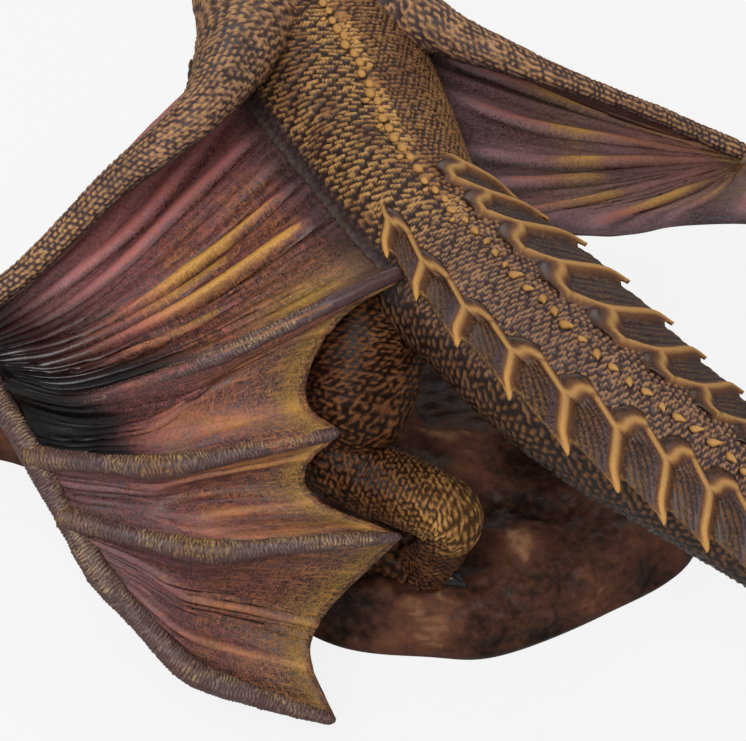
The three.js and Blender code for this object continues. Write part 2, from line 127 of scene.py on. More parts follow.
LEGS = {
    "left_hind": [(-12, -20, 101, 14, 17), (-19, -27, 90, 18, 18), (-26, -36, 76, 18, 17),
                  (-33, -39, 64, 13.5, 12.5), (-27, -50, 59, 9.4, 9.4), (-12, -66, 54, 8.6, 8.6),
                  (-11, -66, 45, 6.3, 6.3), (-11, -60, 33, 6.2, 6.2), (-13, -55, 24, 6.8, 5.2)],
    "right_hind": [(12, -14, 101, 14, 17), (25, -8, 90, 17, 17), (36, 2, 78, 15, 15),
                   (44, 6, 66, 11, 11), (44, -10, 60, 9, 9), (42, -26, 54, 8, 8),
                   (41, -26, 43, 6.2, 6.2), (41, -14, 31, 6.6, 6.6), (41, -4, 23, 7, 5)],
    "left_fore": [(-15, 60, 112, 12, 15), (-26, 50, 92, 12, 12), (-33, 42, 76, 9, 9),
                  (-36, 51, 58, 7.6, 7.6), (-40, 63, 38, 6, 6), (-43, 71, 24, 7, 5)],
    "right_fore": [(15, 60, 112, 12, 15), (26, 52, 92, 12, 12), (33, 44, 76, 9, 9),
                   (35, 54, 58, 7.6, 7.6), (36, 67, 38, 6, 6), (37, 75, 24, 7, 5)],
}
# Where each paw stands, the way it points in degrees from +X, and its spur's root.
PAWS = [
    ((-14, -54, 22.5), 108, (-8, -59, 22.5)), ((41, -3, 23), 72, (37, -14, 24)),
    ((-43, 72, 23), 105, (-38, 62, 24)), ((37, 76, 22.5), 75, (33, 66, 24)),
]
# A toe and a claw: the share of the toe's length, how high, half width and half height.
TOE_LENGTH = 19
TOE_TURNS = (-38, 0, 38)
TOE = [(0.1, 1, 4.4, 4.2), (0.5, 3, 3.6, 3.6), (0.95, 0.6, 3.7, 3.4), (1.12, 0.4, 2.6, 2.4)]
CLAW = [(1.02, 1.0, 2.3, 2.3), (1.22, 0.9, 1.8, 1.8), (1.42, -1.6, 0.3, 0.3)]
# The head's forms: ahead of the nape, right, up, half width and half height. What comes in pairs
# is given for the right side.
NAPE = (-29.0, 143.0, 228.0)
GAZE = (-0.5, 0.82, -0.28)
SKULL = [(-8, 0, -1, 7.5, 8), (2, 0, 0, 10, 9.5), (12, 0, 1, 10.5, 9), (22, 0, 0.5, 8, 7),
         (34, 0, -0.5, 6.4, 5), (44, 0, -1, 5.6, 4.6), (49, 0, -2, 3, 2.4)]
JAW = [(2, 0, -7, 7, 4), (16, 0, -9, 6.2, 3.4), (30, 0, -11.5, 4.6, 2.6), (42, 0, -13, 3.4, 2)]
NOSE_HORN = [(44, 0, 2, 2.4, 2.4), (42.5, 0, 5.5, 1.5, 1.5), (41, 0, 8.5, 0.3, 0.3)]
BROW = [(8, 6, 7, 2.2, 2.2), (15, 7.6, 8.2, 2.6, 2.2), (23, 6, 5.5, 1.8, 1.6)]
NOSTRIL = [(40, 3, 2.4, 1.4, 1.4), (43, 3.2, 3.2, 2.1, 2), (46, 3, 1.4, 1.2, 1.2)]
HORN = [(4, 6, 6, 3.6, 3.6), (-6, 10, 12, 3.2, 3.2), (-18, 12, 15, 2.4, 2.4),
        (-30, 11, 21, 0.6, 0.6)]
EYE = [(13, 8.6, 3.4, 0.4, 0.4), (15.5, 8.9, 3.6, 2, 1.9), (18, 8.2, 3.4, 0.4, 0.4)]
CHEEK_HORN = [(0, 7, 0, 3, 3), (-6, 11.5, 0.2, 1.9, 1.9), (-12, 15, 1, 0.3, 0.3)]
CHEEK_HORN_ROOTS = [(2, -2), (4, -7)]
TOOTH = [(0, 4.6, -3, 1.3, 1.3), (0.3, 4.6, -5.6, 0.9, 0.9), (0.5, 4.4, -8.5, 0.2, 0.2)]
TOOTH_PLACES = (26, 33, 40)
ROCK_CENTRE = (-5, 12)
ROCK_OUTLINE = [
    (3, -72.5), (36, -70), (67, -61), (85, -30), (86, 10), (76, 50), (52, 84), (14, 99),
    (-30, 98), (-70, 92), (-97, 82), (-104, 68), (-90, 53), (-66, 18), (-52, -20),
    (-37, -50), (-15, -65),
]
# The share of the way out to the outline, and how high.
ROCK_PROFILE = [(0.985, 0), (1, 3), (0.99, 9), (0.95, 15), (0.86, 19.6), (0.62, 22.6),
                (0.32, 24.2), (0.0, 24.6)]
# Each frill's forks and the inner ends of their branches, with its edge at 1, and then where its
# first ribs stand along the trunk. The others follow at an even pitch.
FRILL_FORKS = {"left": (0.0, -0.5), "right": (-0.5, -1.3)}
FRILL_RIBS = {
    "left": [0.518, 0.541, 0.569, 0.595, 0.618, 0.638, 0.659, 0.68],
    "right": [0.509, 0.529, 0.551, 0.577, 0.606, 0.633, 0.657, 0.68],
}
RIB_PITCH = 0.0225
LAST_RIB = 0.96
FRILL_THICKNESS = 1.1
POINTS_A_SPAN = 25
POINTS_OUTWARD = 42
WEB_THICKNESS = 1.6
# How many coarse folds each web of a wing has, and the length of its grain in millimetres.
FOLD_COUNTS = (13, 5.5, 5, 6)
GRAIN_LENGTHS = (110, 85, 85, 85)
# Where the long creases of the first webs lie, from the forearm (0) to the finger (1).
CREASES = {"left": (0.07, 0.15, 0.235, 0.32, 0.41, 0.47, 0.53, 0.6, 0.7, 0.8),
           "right": (0.08, 0.17, 0.27, 0.36, 0.46, 0.56, 0.66, 0.76, 0.87)}
# The body's skin, from end to end and where its rings are finest, as shares of the trunk.
BODY_CUT = (0.3, 0.74)
FINEST_CUT = (0.345, 0.70)
NECK_CUT = (0.0, 0.302)
TAIL_END_CUT = (0.738, 1.0)
# Each kind of scale, in millimetres, as strokes takes it.
SCALES = {
    "back": dict(pitch=(4.2, 1.5), half=1.2, radius=0.6, seed=3, lean=0.12),
    "tail": dict(pitch=(2.7, 1.35), half=0.8, radius=0.5, seed=5, lean=0.1),
    "pebble": dict(pitch=(1.8, 1.45), half=0.15, radius=0.7, seed=7),
    "flank": dict(pitch=(3.3, 1.9), half=0.7, radius=0.76, seed=9, lean=0.6),
    "forearm": dict(pitch=(1.9, 1.35), half=0.25, radius=0.65, seed=14),
    "upper arm": dict(pitch=(2.9, 1.6), half=0.6, radius=0.72, seed=15, lean=0.3),
    "shin": dict(pitch=(1.9, 1.35), half=0.35, radius=0.6, seed=17, lean=0.5),
    "thigh": dict(pitch=(2.5, 1.4), half=0.55, radius=0.62, seed=18, lean=0.6),
}
# The studio in metres, and its lamps: place, width and watts.
FLOOR_SIZE = 6
FLOOR_DROP = 0.0002
FLOOR_GREY = 0.55
FLOOR_WHITENESS = 0.85
SKY_STRENGTH = 0.3
VIEW_CENTRE = Vector((-0.0087, -0.0132, 0.0595))
LAMPS = {
    "key": ((-0.55, -0.75, 1.0), 0.7, 12.5),
    "fill": ((0.8, -0.6, 0.8), 0.9, 1.5),
    "rim": ((0.3, 0.9, 0.8), 0.7, 4.0),
}


def srgb(red, green, blue):
    """A paint's colour, from the 0 to 255 of a colour chart."""
    part = np.array([red, green, blue]) / 255
    light = np.where(part <= 0.04045, part / 12.92, ((part + 0.055) / 1.055) ** 2.4)
    return [float(channel) for channel in light]


def blend(a, b, share):
    """Mixes two colours, or rows of them, by a share from 0 to 1."""
    share = np.clip(share, 0, 1)[..., None]
    return np.asarray(a) * (1 - share) + np.asarray(b) * share


def ramp(x, low, high):
    """0 below low, 1 above high, smooth between."""
    x = np.clip((x - low) / (high - low), 0, 1)
    return x * x * (3 - 2 * x)


def unit(v):
    """The same direction, one unit long."""
    return v / np.maximum(np.linalg.norm(v, axis=-1, keepdims=True), 1e-9)


def chance(i, j, k=0.0):
    """A settled random number for each lattice corner."""
    wave = np.sin(i * 127.1 + j * 311.7 + k * 74.7) * 43758.5453
    return wave - np.floor(wave)


def drift(x, y, seed=0.0):
    """Soft noise from 0 to 1 that changes over about one unit."""
    i, j = np.floor(x), np.floor(y)
    a, b = x - i, y - j
    a, b = a * a * (3 - 2 * a), b * b * (3 - 2 * b)
    low = chance(i, j, seed) * (1 - a) + chance(i + 1, j, seed) * a
    high = chance(i, j + 1, seed) * (1 - a) + chance(i + 1, j + 1, seed) * a
    return low * (1 - b) + high * b


def rough(x, y, seed=0.0, octaves=4):
    """Noise with finer noise on it, from about -1 to 1."""
    total, size = 0.0, 1.0
    for k in range(octaves):
        total = total + size * (2 * drift(x * 2 ** k, y * 2 ** k, seed + 5 * k) - 1)
        size /= 2
    return total / 1.6


def strokes(x, y, pitch, half, radius, seed=0.0, lean=0.2):
    """Short raised strokes in staggered rows, x across and y along: height from 0 to 1.

    Half is half of a stroke's length, radius half of its width, and lean how far it slants.
    """
    i, j = np.floor(x / pitch[0]), np.floor(y / pitch[1])
    best = np.zeros(np.shape(x))
    for step in (-1, 0, 1):
        for row in (-1, 0, 1):
            p, q = i + step, j + row
            a, b, c = (chance(p, q, seed + k) for k in range(3))
            cx = (p + 0.35 + 0.5 * np.mod(q, 2) + 0.3 * a) * pitch[0]
            cy = (q + 0.36 + 0.28 * b) * pitch[1]
            dx = x - cx
            dy = y - cy - lean * (2 * c - 1) * dx
            dx = np.maximum(np.abs(dx) - half * (0.65 + 0.6 * c), 0)
            size = radius * (0.8 + 0.35 * b)
            best = np.maximum(best, 1 - (dx * dx + dy * dy) / size ** 2)
    return best ** 0.75


def run(rows):
    """A smooth run through rows of numbers, by equal steps."""
    rows = np.asarray(rows, float)
    ends = len(rows) - 1
    rows = np.vstack([2 * rows[0] - rows[1], rows, 2 * rows[-1] - rows[-2]])

    def at(t):
        p = np.clip(np.asarray(t, float), 0, 1) * ends
        k = np.minimum(p.astype(int), ends - 1)
        w = (p - k)[..., None]
        a, b, c, d = (rows[k + i] for i in range(4))
        start, stop = (c - a) / 2, (d - b) / 2
        cubic, square = 2 * b - 2 * c + start + stop, 3 * c - 3 * b - 2 * start - stop
        return ((cubic * w + square) * w + start) * w + b
    return at


def limb(rows, reference=UP):
    """Points on a limb's skin: how far along, degrees round from the top, height off it."""
    along = run(rows)

    def skin(t, degrees, lift=0.0):
        here = along(t)
        way = unit(along(np.minimum(1, t + 0.001))[..., :3]
                   - along(np.maximum(0, t - 0.001))[..., :3])
        side = unit(np.cross(way, reference))
        up = np.cross(side, way)
        angle = np.radians(degrees)
        return (here[..., :3] + up * ((here[..., 4] + lift) * np.cos(angle))[..., None]
                + side * ((here[..., 3] + lift) * np.sin(angle))[..., None])
    return skin


def lengths(rows):
    """Even places along a run of rows, and their distances in millimetres."""
    t = np.linspace(0, 1, 800)
    at = run(rows)(t)[:, :3]
    return t, np.concatenate([[0], np.cumsum(np.linalg.norm(np.diff(at, axis=0), axis=1))])


back = limb(TRUNK)


# Meshes

def deselect():
    """Leaves edit mode, with nothing selected."""
    if bpy.context.object and bpy.context.object.mode != "OBJECT":
        bpy.ops.object.mode_set(mode="OBJECT")
    bpy.ops.object.select_all(action="DESELECT")


def choose(obj):
    """Selects one object alone and makes it the active one."""
    deselect()
    obj.select_set(True)
    bpy.context.view_layer.objects.active = obj


def keep(mesh, label, values):
    """Keeps a number, or a colour, at each of a mesh's vertices."""
    if values.ndim == 1:
        kept = mesh.attributes.new(label, "FLOAT", "POINT")
        kept.data.foreach_set("value", np.ascontiguousarray(values, float))
    else:
        rgba = np.ones((len(values), 4))
        rgba[:, :values.shape[1]] = np.clip(values, 0, 1)
        kept = mesh.attributes.new(label, "FLOAT_COLOR", "POINT")
        kept.data.foreach_set("color", rgba.ravel())


def sculpt(name, points, paint, relief, span, wrap=True, thickness=0.0, dry=None,
           ground=None):
    """A fine grid bent through points, with its paint and relief kept at each of them."""
    rows, columns = points.shape[:2]
    deselect()
    bpy.ops.mesh.primitive_grid_add(
        x_subdivisions=rows - 1, y_subdivisions=columns - 1, size=1, calc_uvs=True)
    obj = bpy.context.object
    obj.name = obj.data.name = name
    mesh = obj.data
    corners = np.empty(len(mesh.vertices) * 3)
    mesh.vertices.foreach_get("co", corners)
    corners = corners.reshape(-1, 3)
    i = np.rint((corners[:, 0] + 0.5) * (rows - 1)).astype(int)
    j = np.rint((corners[:, 1] + 0.5) * (columns - 1)).astype(int)
    mesh.vertices.foreach_set("co", (points[i, j] * MM).ravel())
    for label, values in (("paint", paint), ("ground", ground), ("dry_brush", dry),
                          ("relief", relief)):
        if values is not None:
            keep(mesh, label, values[i, j])
    loops = np.empty(len(mesh.loops), int)
    mesh.loops.foreach_get("vertex_index", loops)
    flat = np.stack([i[loops] / (rows - 1) * span[0], j[loops] / (columns - 1) * span[1]], 1)
    mesh.uv_layers[0].data.foreach_set("uv", flat.ravel())
    mesh.update()
    if thickness:
        solid = obj.modifiers.new("thickness", "SOLIDIFY")
        solid.thickness, solid.offset = thickness * MM, 0.0
        bpy.ops.object.modifier_apply(modifier=solid.name)
    bpy.ops.object.mode_set(mode="EDIT")
    bpy.ops.mesh.select_all(action="SELECT")
    if wrap:
        bpy.ops.mesh.remove_doubles(threshold=2e-6)
    bpy.ops.mesh.normals_make_consistent(inside=False)
    bpy.ops.object.mode_set(mode="OBJECT")
    bpy.ops.object.shade_smooth()
    return obj


def join(name, parts):
    """Joins like pieces into one, once each has its own mesh and paint."""
    choose(parts[0])
    for part in parts[1:]:
        part.select_set(True)
    bpy.ops.object.join()
    obj = bpy.context.object
    obj.name = obj.data.name = name
    return obj


def finish_piece(obj, material, node="dragon"):
    """Gives a piece its finish, hangs it on the root body and hides the solid that it stands in
    for.
    """
    obj.data.materials.clear()
    obj.data.materials.append(material)
    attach(obj, "root")
    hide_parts(node)
    return obj


def tube(name, rows, step, around, reference=UP, dress=None, cut=(0.0, 1.0)):
    """A limb's skin as a closed mesh.

    Dress gives its lift, paint, ground and relief from S, how far along it is in millimetres,
    turn, the degrees from its top, its radius, and T, the share of its rows.
    """
    t, far = lengths(rows)
    start, stop = np.interp(cut[0], t, far), np.interp(cut[1], t, far)
    rings = max(4, int((stop - start) / step))
    s = np.linspace(start, stop, rings)
    s = np.concatenate([[start], s, [stop]])
    degrees = np.linspace(0, 360, around + 1)
    S, A = np.meshgrid(s, degrees, indexing="ij")
    T = np.interp(S, far, t)
    radius = run(rows)(T)[..., 3:5].mean(-1)
    turn = np.where(A > 180, A - 360, A)
    lift, paint, ground, relief = dress(S, turn, radius, T)
    skin = limb(rows, reference)
    points = skin(T, A, lift)
    points[0], points[-1] = points[1].mean(0), points[-2].mean(0)
    return sculpt(name, points, paint, relief, (stop - start, 2 * math.pi * radius.mean()),
                  ground=ground)


# Materials

def node(tree, kind, place=(0, 0), **settings):
    """A new shader node at its place, with its settings."""
    made = tree.nodes.new(kind)
    made.location = place
    for key, value in settings.items():
        setattr(made, key, value)
    return made


def hand_paint_group():
    """Brushwork shared by every painted surface: colour, painted shade in hollows, dullness, fine
    bump.
    """
    name = "Hand painted resin"
    if name in bpy.data.node_groups:
        return bpy.data.node_groups[name]
    group = bpy.data.node_groups.new(name, "ShaderNodeTree")
    face = group.interface
    for label, value, low, high in (
            ("Speckle", 0.25, 0, 1), ("Speckle size", 900, 10, 5000), ("Strokes", 0.0, 0, 1),
            ("Stroke size", 1.0, 0.01, 20), ("Dullness", 0.7, 0, 1), ("Wash", 0.5, 0, 1)):
        socket = face.new_socket(label, in_out="INPUT", socket_type="NodeSocketFloat")
        socket.default_value, socket.min_value, socket.max_value = value, low, high
    face.new_socket("Colour", in_out="OUTPUT", socket_type="NodeSocketColor")
    face.new_socket("Roughness", in_out="OUTPUT", socket_type="NodeSocketFloat")
    face.new_socket("Height", in_out="OUTPUT", socket_type="NodeSocketFloat")
    link = group.links.new
    given = node(group, "NodeGroupInput", (-1600, 0))
    out = node(group, "NodeGroupOutput", (900, 0))
    paint = node(group, "ShaderNodeAttribute", (-1200, 400), attribute_name="paint")
    base = node(group, "ShaderNodeAttribute", (-1200, 550), attribute_name="ground")
    dry = node(group, "ShaderNodeAttribute", (-1200, 250), attribute_name="dry_brush")
    relief = node(group, "ShaderNodeAttribute", (-1200, 100), attribute_name="relief")
    space = node(group, "ShaderNodeTexCoord", (-1600, -300))

    def maths(operation, a, b, place, clamp=False):
        made = node(group, "ShaderNodeMath", place, operation=operation, use_clamp=clamp)
        for socket, value in zip(made.inputs, (a, b)):
            if isinstance(value, (int, float)):
                socket.default_value = value
            else:
                link(value, socket)
        return made.outputs[0]

    def noise(place, stretch, detail, twist):
        bent = node(group, "ShaderNodeMapping", (place[0] - 200, place[1]))
        bent.inputs["Scale"].default_value = stretch
        link(space.outputs["UV"], bent.inputs["Vector"])
        made = node(group, "ShaderNodeTexNoise", place, noise_dimensions="2D")
        made.inputs["Detail"].default_value = detail
        made.inputs["Distortion"].default_value = twist
        link(bent.outputs["Vector"], made.inputs["Vector"])
        link(given.outputs["Stroke size"], made.inputs["Scale"])
        return made.outputs["Fac"]

    def between(value, low, high, place):
        made = node(group, "ShaderNodeMapRange", place, interpolation_type="SMOOTHSTEP")
        made.inputs["From Min"].default_value = low
        made.inputs["From Max"].default_value = high
        link(value, made.inputs["Value"])
        return made.outputs["Result"]

    # specks from about -0.5 to 0.5, which break up the paint
    speck = node(group, "ShaderNodeTexNoise", (-1000, -200))
    speck.inputs["Detail"].default_value = 3
    link(space.outputs["Object"], speck.inputs["Vector"])
    link(given.outputs["Speckle size"], speck.inputs["Scale"])
    specks = maths("SUBTRACT", speck.outputs["Fac"], 0.5, (-900, -200))
    # the dry brush: hairlines and long strokes, and the crests that it touches
    level = maths("SUBTRACT", noise((-1000, -450), (0.5, 1.3, 1), 3, 1.2), 0.5, (-900, -450))
    level = maths("ABSOLUTE", level, 0.0, (-850, -450))
    hairs = maths("SUBTRACT", 1.0, between(level, 0.008, 0.05, (-800, -450)), (-700, -450))
    lines = between(noise((-1000, -700), (1.7, 0.14, 1), 3, 0.7), 0.5, 0.72, (-800, -700))
    brush = maths("MAXIMUM", hairs, maths("MULTIPLY", lines, 0.6, (-600, -700)), (-550, -500))
    broken = maths("MULTIPLY", specks, 0.5, (-800, -1000))
    crests = between(maths("ADD", relief.outputs["Fac"], broken, (-700, -900)), 0.84, 1.0,
                     (-600, -900))
    brush = maths("MAXIMUM", brush, crests, (-400, -500))
    brush = maths("MULTIPLY", brush, dry.outputs["Alpha"], (-300, -500))
    brush = maths("MULTIPLY", brush, given.outputs["Strokes"], (-150, -500), True)
    mixed = node(group, "ShaderNodeMix", (0, 350), data_type="RGBA", blend_type="MIX")
    link(brush, mixed.inputs["Factor"])
    # the ground, with paint on what is raised, and then the dry brush over both
    worn = maths("MULTIPLY", specks, 0.9, (-650, 700))
    touched = between(maths("ADD", relief.outputs["Fac"], worn, (-500, 700)), 0.05, 0.95,
                      (-350, 700))
    bare = maths("SUBTRACT", 1.0, base.outputs["Alpha"], (-350, 850))
    touched = maths("MAXIMUM", touched, bare, (-200, 700))
    scales = node(group, "ShaderNodeMix", (-50, 600), data_type="RGBA", blend_type="MIX")
    link(touched, scales.inputs["Factor"])
    link(base.outputs["Color"], scales.inputs["A"])
    link(paint.outputs["Color"], scales.inputs["B"])
    link(scales.outputs["Result"], mixed.inputs["A"])
    link(dry.outputs["Color"], mixed.inputs["B"])
    # the speckle, and painted shade that darkens the hollows: the lower the relief, the darker
    grain = maths("MULTIPLY", specks, given.outputs["Speckle"], (-650, -200))
    grain = maths("MULTIPLY", grain, 2.6, (-500, -200))
    value = maths("ADD", grain, 1.0, (-350, -200))
    hollow_shade = maths("SUBTRACT", 1.0, relief.outputs["Fac"], (-800, 100))
    hollow_shade = maths("MULTIPLY", hollow_shade, given.outputs["Wash"], (-650, 100))
    unshaded = maths("SUBTRACT", 1.0, hollow_shade, (-500, 100), True)
    shade = maths("MULTIPLY", unshaded, value, (-200, 0))
    tone = node(group, "ShaderNodeMix", (200, 200), data_type="RGBA", blend_type="MULTIPLY")
    tone.inputs["Factor"].default_value = 1.0
    grey = node(group, "ShaderNodeCombineColor", (0, 0))
    for channel in range(3):
        link(shade, grey.inputs[channel])
    link(mixed.outputs["Result"], tone.inputs["A"])
    link(grey.outputs["Color"], tone.inputs["B"])
    link(tone.outputs["Result"], out.inputs["Colour"])
    # dark paint is glossier than light paint
    light = node(group, "ShaderNodeRGBToBW", (350, 100))
    link(tone.outputs["Result"], light.inputs["Color"])
    dull = between(light.outputs["Val"], 0.0, 0.09, (450, 0))
    dull = maths("ADD", maths("MULTIPLY", dull, 0.55, (550, -50)), 0.45, (650, -50))
    dull = maths("MULTIPLY", dull, given.outputs["Dullness"], (700, -150))
    dull = maths("SUBTRACT", dull, maths("MULTIPLY", grain, 0.3, (550, -200)), (780, -150), True)
    link(dull, out.inputs["Roughness"])
    link(maths("ADD", grain, maths("MULTIPLY", brush, 0.7, (0, -500)), (200, -400)),
         out.inputs["Height"])
    return group


def painted(name, speckle=0.25, size=900, stroke=0.0, stroke_size=1.0, dull=0.8, wash=0.4,
            bump=0.25, depth=0.0002, coat=0.0, specular=0.25):
    """A material with the shared brushwork, and its own values for it; wash sets its painted shade.
    """
    material = bpy.data.materials.new(name)
    material.use_nodes = True
    tree = material.node_tree
    shader = tree.nodes["Principled BSDF"]
    group = node(tree, "ShaderNodeGroup", (-500, 0), node_tree=hand_paint_group())
    for label, value in (("Speckle", speckle), ("Speckle size", size), ("Strokes", stroke),
                         ("Stroke size", stroke_size), ("Dullness", dull), ("Wash", wash)):
        group.inputs[label].default_value = value
    raised = node(tree, "ShaderNodeBump", (-250, -250))
    raised.inputs["Strength"].default_value = bump
    raised.inputs["Distance"].default_value = depth
    link = tree.links.new
    link(group.outputs["Colour"], shader.inputs["Base Color"])
    link(group.outputs["Roughness"], shader.inputs["Roughness"])
    link(group.outputs["Height"], raised.inputs["Height"])
    link(raised.outputs["Normal"], shader.inputs["Normal"])
    shader.inputs["Coat Weight"].default_value = coat
    shader.inputs["Coat Roughness"].default_value = 0.25
    shader.inputs["Specular IOR Level"].default_value = specular
    return material


def finish(name):
    """The named finish, made once."""
    if name in bpy.data.materials:
        return bpy.data.materials[name]
    # wash in each recipe is how dark the painted shade in its hollows is
    recipes = {
        "Gold dry-brushed scales": dict(speckle=0.16, size=1400, dull=0.75, wash=0.6, bump=0.35,
                                        specular=0.3),
        "Dark scales": dict(speckle=0.16, size=1400, dull=0.8, wash=0.6, bump=0.35,
                            specular=0.1),
        "Airbrushed membrane": dict(speckle=0.12, size=1500, stroke=1.0, stroke_size=1.2,
                                    dull=0.58, wash=0.6, bump=0.5, specular=0.4),
        "Wrinkled finger": dict(speckle=0.16, size=1500, dull=0.62, wash=0.45, specular=0.35),
        "Ochre frill": dict(speckle=0.1, size=1600, dull=0.72, wash=0.35, specular=0.32),
        "Hollow-shaded rock": dict(speckle=0.4, size=420, dull=0.9, wash=0.5, bump=0.6,
                            depth=0.0006, specular=0.2),
        "Black claw": dict(speckle=0.1, size=900, dull=0.5, wash=0.2, bump=0.1, coat=0.5),
    }
    return painted(name, **recipes[name])


# Pieces

def colours():
    """The statue's paints, as the panel has them."""
    own = bpy.context.scene.dragon_paints
    return {key: np.array(getattr(own, key)) for key in DragonPaints.__annotations__}


def body_dress(grow=1.0):
    """Rows of short scales, finer on the tail, pebbles on the right and coarse low down."""
    tints = colours()

    def dress(S, turn, radius, T):
        across = np.radians(turn) * radius / grow
        along = S / grow
        side = np.abs(turn)
        # which scales lie where: on the back, on the tail, right of the spine and low down
        tail = ramp(T, 0.495, 0.55)
        tail_scales = ramp(T, 0.512, 0.522)
        wave = 0.6 * np.sin(across / 4.3 + along / 17) + 1.1 * (drift(across / 6, along / 8, 2)
                                                               - 0.5)
        slope = along + 0.55 * np.clip(across, 0, 40)
        on_body = strokes(across, slope + wave, **SCALES["back"])
        on_tail = strokes(across, along + 0.35 * across, **SCALES["tail"])
        pebbles = strokes(across, along, **SCALES["pebble"])
        drops = strokes(across + 0.6 * wave, along, **SCALES["flank"])
        marks = np.where(tail_scales > 0.5, on_tail, on_body)
        right = ramp(-across, 1.5, 3.0) * (1 - tail)
        band = ramp(-across, -0.5, 0.5) * ramp(across, -8.0, -7.0) * tail
        marks = np.where(right + band > 0.5, pebbles, marks)
        low = ramp(side, 64, 80)
        marks = np.where(low > 0.5, drops, marks)
        ridge = np.exp(-((across - 1.2 * tail) / 1.9) ** 2) * (1 - 0.7 * tail)
        swell = rough(across / 13, along / 17, 4, 3)
        # smoother skin with a pale seam, where the left wing meets the flank
        border = (ramp(turn, 58, 67) * (1 - ramp(turn, 82, 94)) * ramp(T, 0.355, 0.375)
                  * (1 - ramp(T, 0.515, 0.54)))
        seam = np.exp(-((turn - 73) / 2.6) ** 2) * border
        lift = (0.8 * marks * (1 - 0.7 * border) * (1 - 0.4 * low) * grow
                + 0.7 * swell * ramp(side, 6, 25) + 0.8 * ridge + 0.9 * seam)
        # the paint of the scales' tops and of the ground between them, with painted shade on the
        # right, low down and underneath
        patch = drift(across / 7, along / 8, 21)
        fleck = drift(across / 1.3, along / 1.1, 31)
        top = blend(tints["gold"], tints["bronze"], 0.75 * ramp(patch, 0.35, 0.8))
        top = blend(top, tints["tan"] * 0.78, 0.85 * tail)
        # right of the spine and low down, bronze and rust: their own paint, darkened as painted
        # shade
        top = blend(top, tints["bronze"] * (1 - 0.5 * low[..., None]), 0.6 * right + 0.9 * low)
        ground = blend(tints["umber"], tints["slate"] * 0.8, 0.15 + 0.4 * tail)
        ground = blend(ground, tints["rust"] * (1 - 0.7 * low[..., None]),
                       0.35 * right + 0.9 * low)
        ground = blend(ground, tints["slate"] * 0.62, border)
        top = blend(top, tints["slate"] * 1.15, 0.8 * border)
        # soot over the underside: painted shade under the body
        under = 0.7 * ramp(side, 92, 128)
        relief = marks * (0.78 + 0.22 * fleck) + 0.12 * ramp(swell, 0.1, 0.8) + 0.25 * ridge
        relief = relief * (1 - 0.6 * border)
        paint = blend(blend(top, tints["soot"], under), tints["bone"] * 0.8, 0.6 * seam)
        ground = blend(blend(ground, tints["soot"], under), tints["bone"] * 0.6, 0.5 * seam)
        return lift, paint, ground, np.clip(relief, 0, 1)
    return dress


def build_body():
    """The body's skin as one fine piece, with the neck and the tail's end as coarser ones."""
    dress = body_dress()
    t, far = lengths(TRUNK)
    start, stop = np.interp(BODY_CUT, t, far)
    first, last = np.interp(FINEST_CUT, t, far)
    # the rings are finest where the photo shows the scales, and few points lie under the belly
    s = np.concatenate([
        np.arange(start, first, 1.0), np.arange(first, last, 0.52), np.arange(last, stop, 0.9),
        [stop]])
    degrees = np.concatenate([
        np.linspace(0, 126, 74)[:-1], np.linspace(126, 234, 13)[:-1], np.linspace(234, 360, 74)])
    S, A = np.meshgrid(s, degrees, indexing="ij")
    T = np.interp(S, far, t)
    radius = run(TRUNK)(T)[..., 3:5].mean(-1)
    lift, paint, ground, relief = dress(S, np.where(A > 180, A - 360, A), radius, T)
    points = back(T, A, lift)
    body = sculpt("body", points, paint, relief, (stop - start, 130), ground=ground)
    finish_piece(body, finish("Gold dry-brushed scales"))
    for name, step, around, grow, part in (("neck", 1.2, 90, 1.5, NECK_CUT),
                                           ("tail_end", 1.0, 64, 1.2, TAIL_END_CUT)):
        piece = tube(name, TRUNK, step, around, dress=body_dress(grow), cut=part)
        finish_piece(piece, finish("Gold dry-brushed scales"))


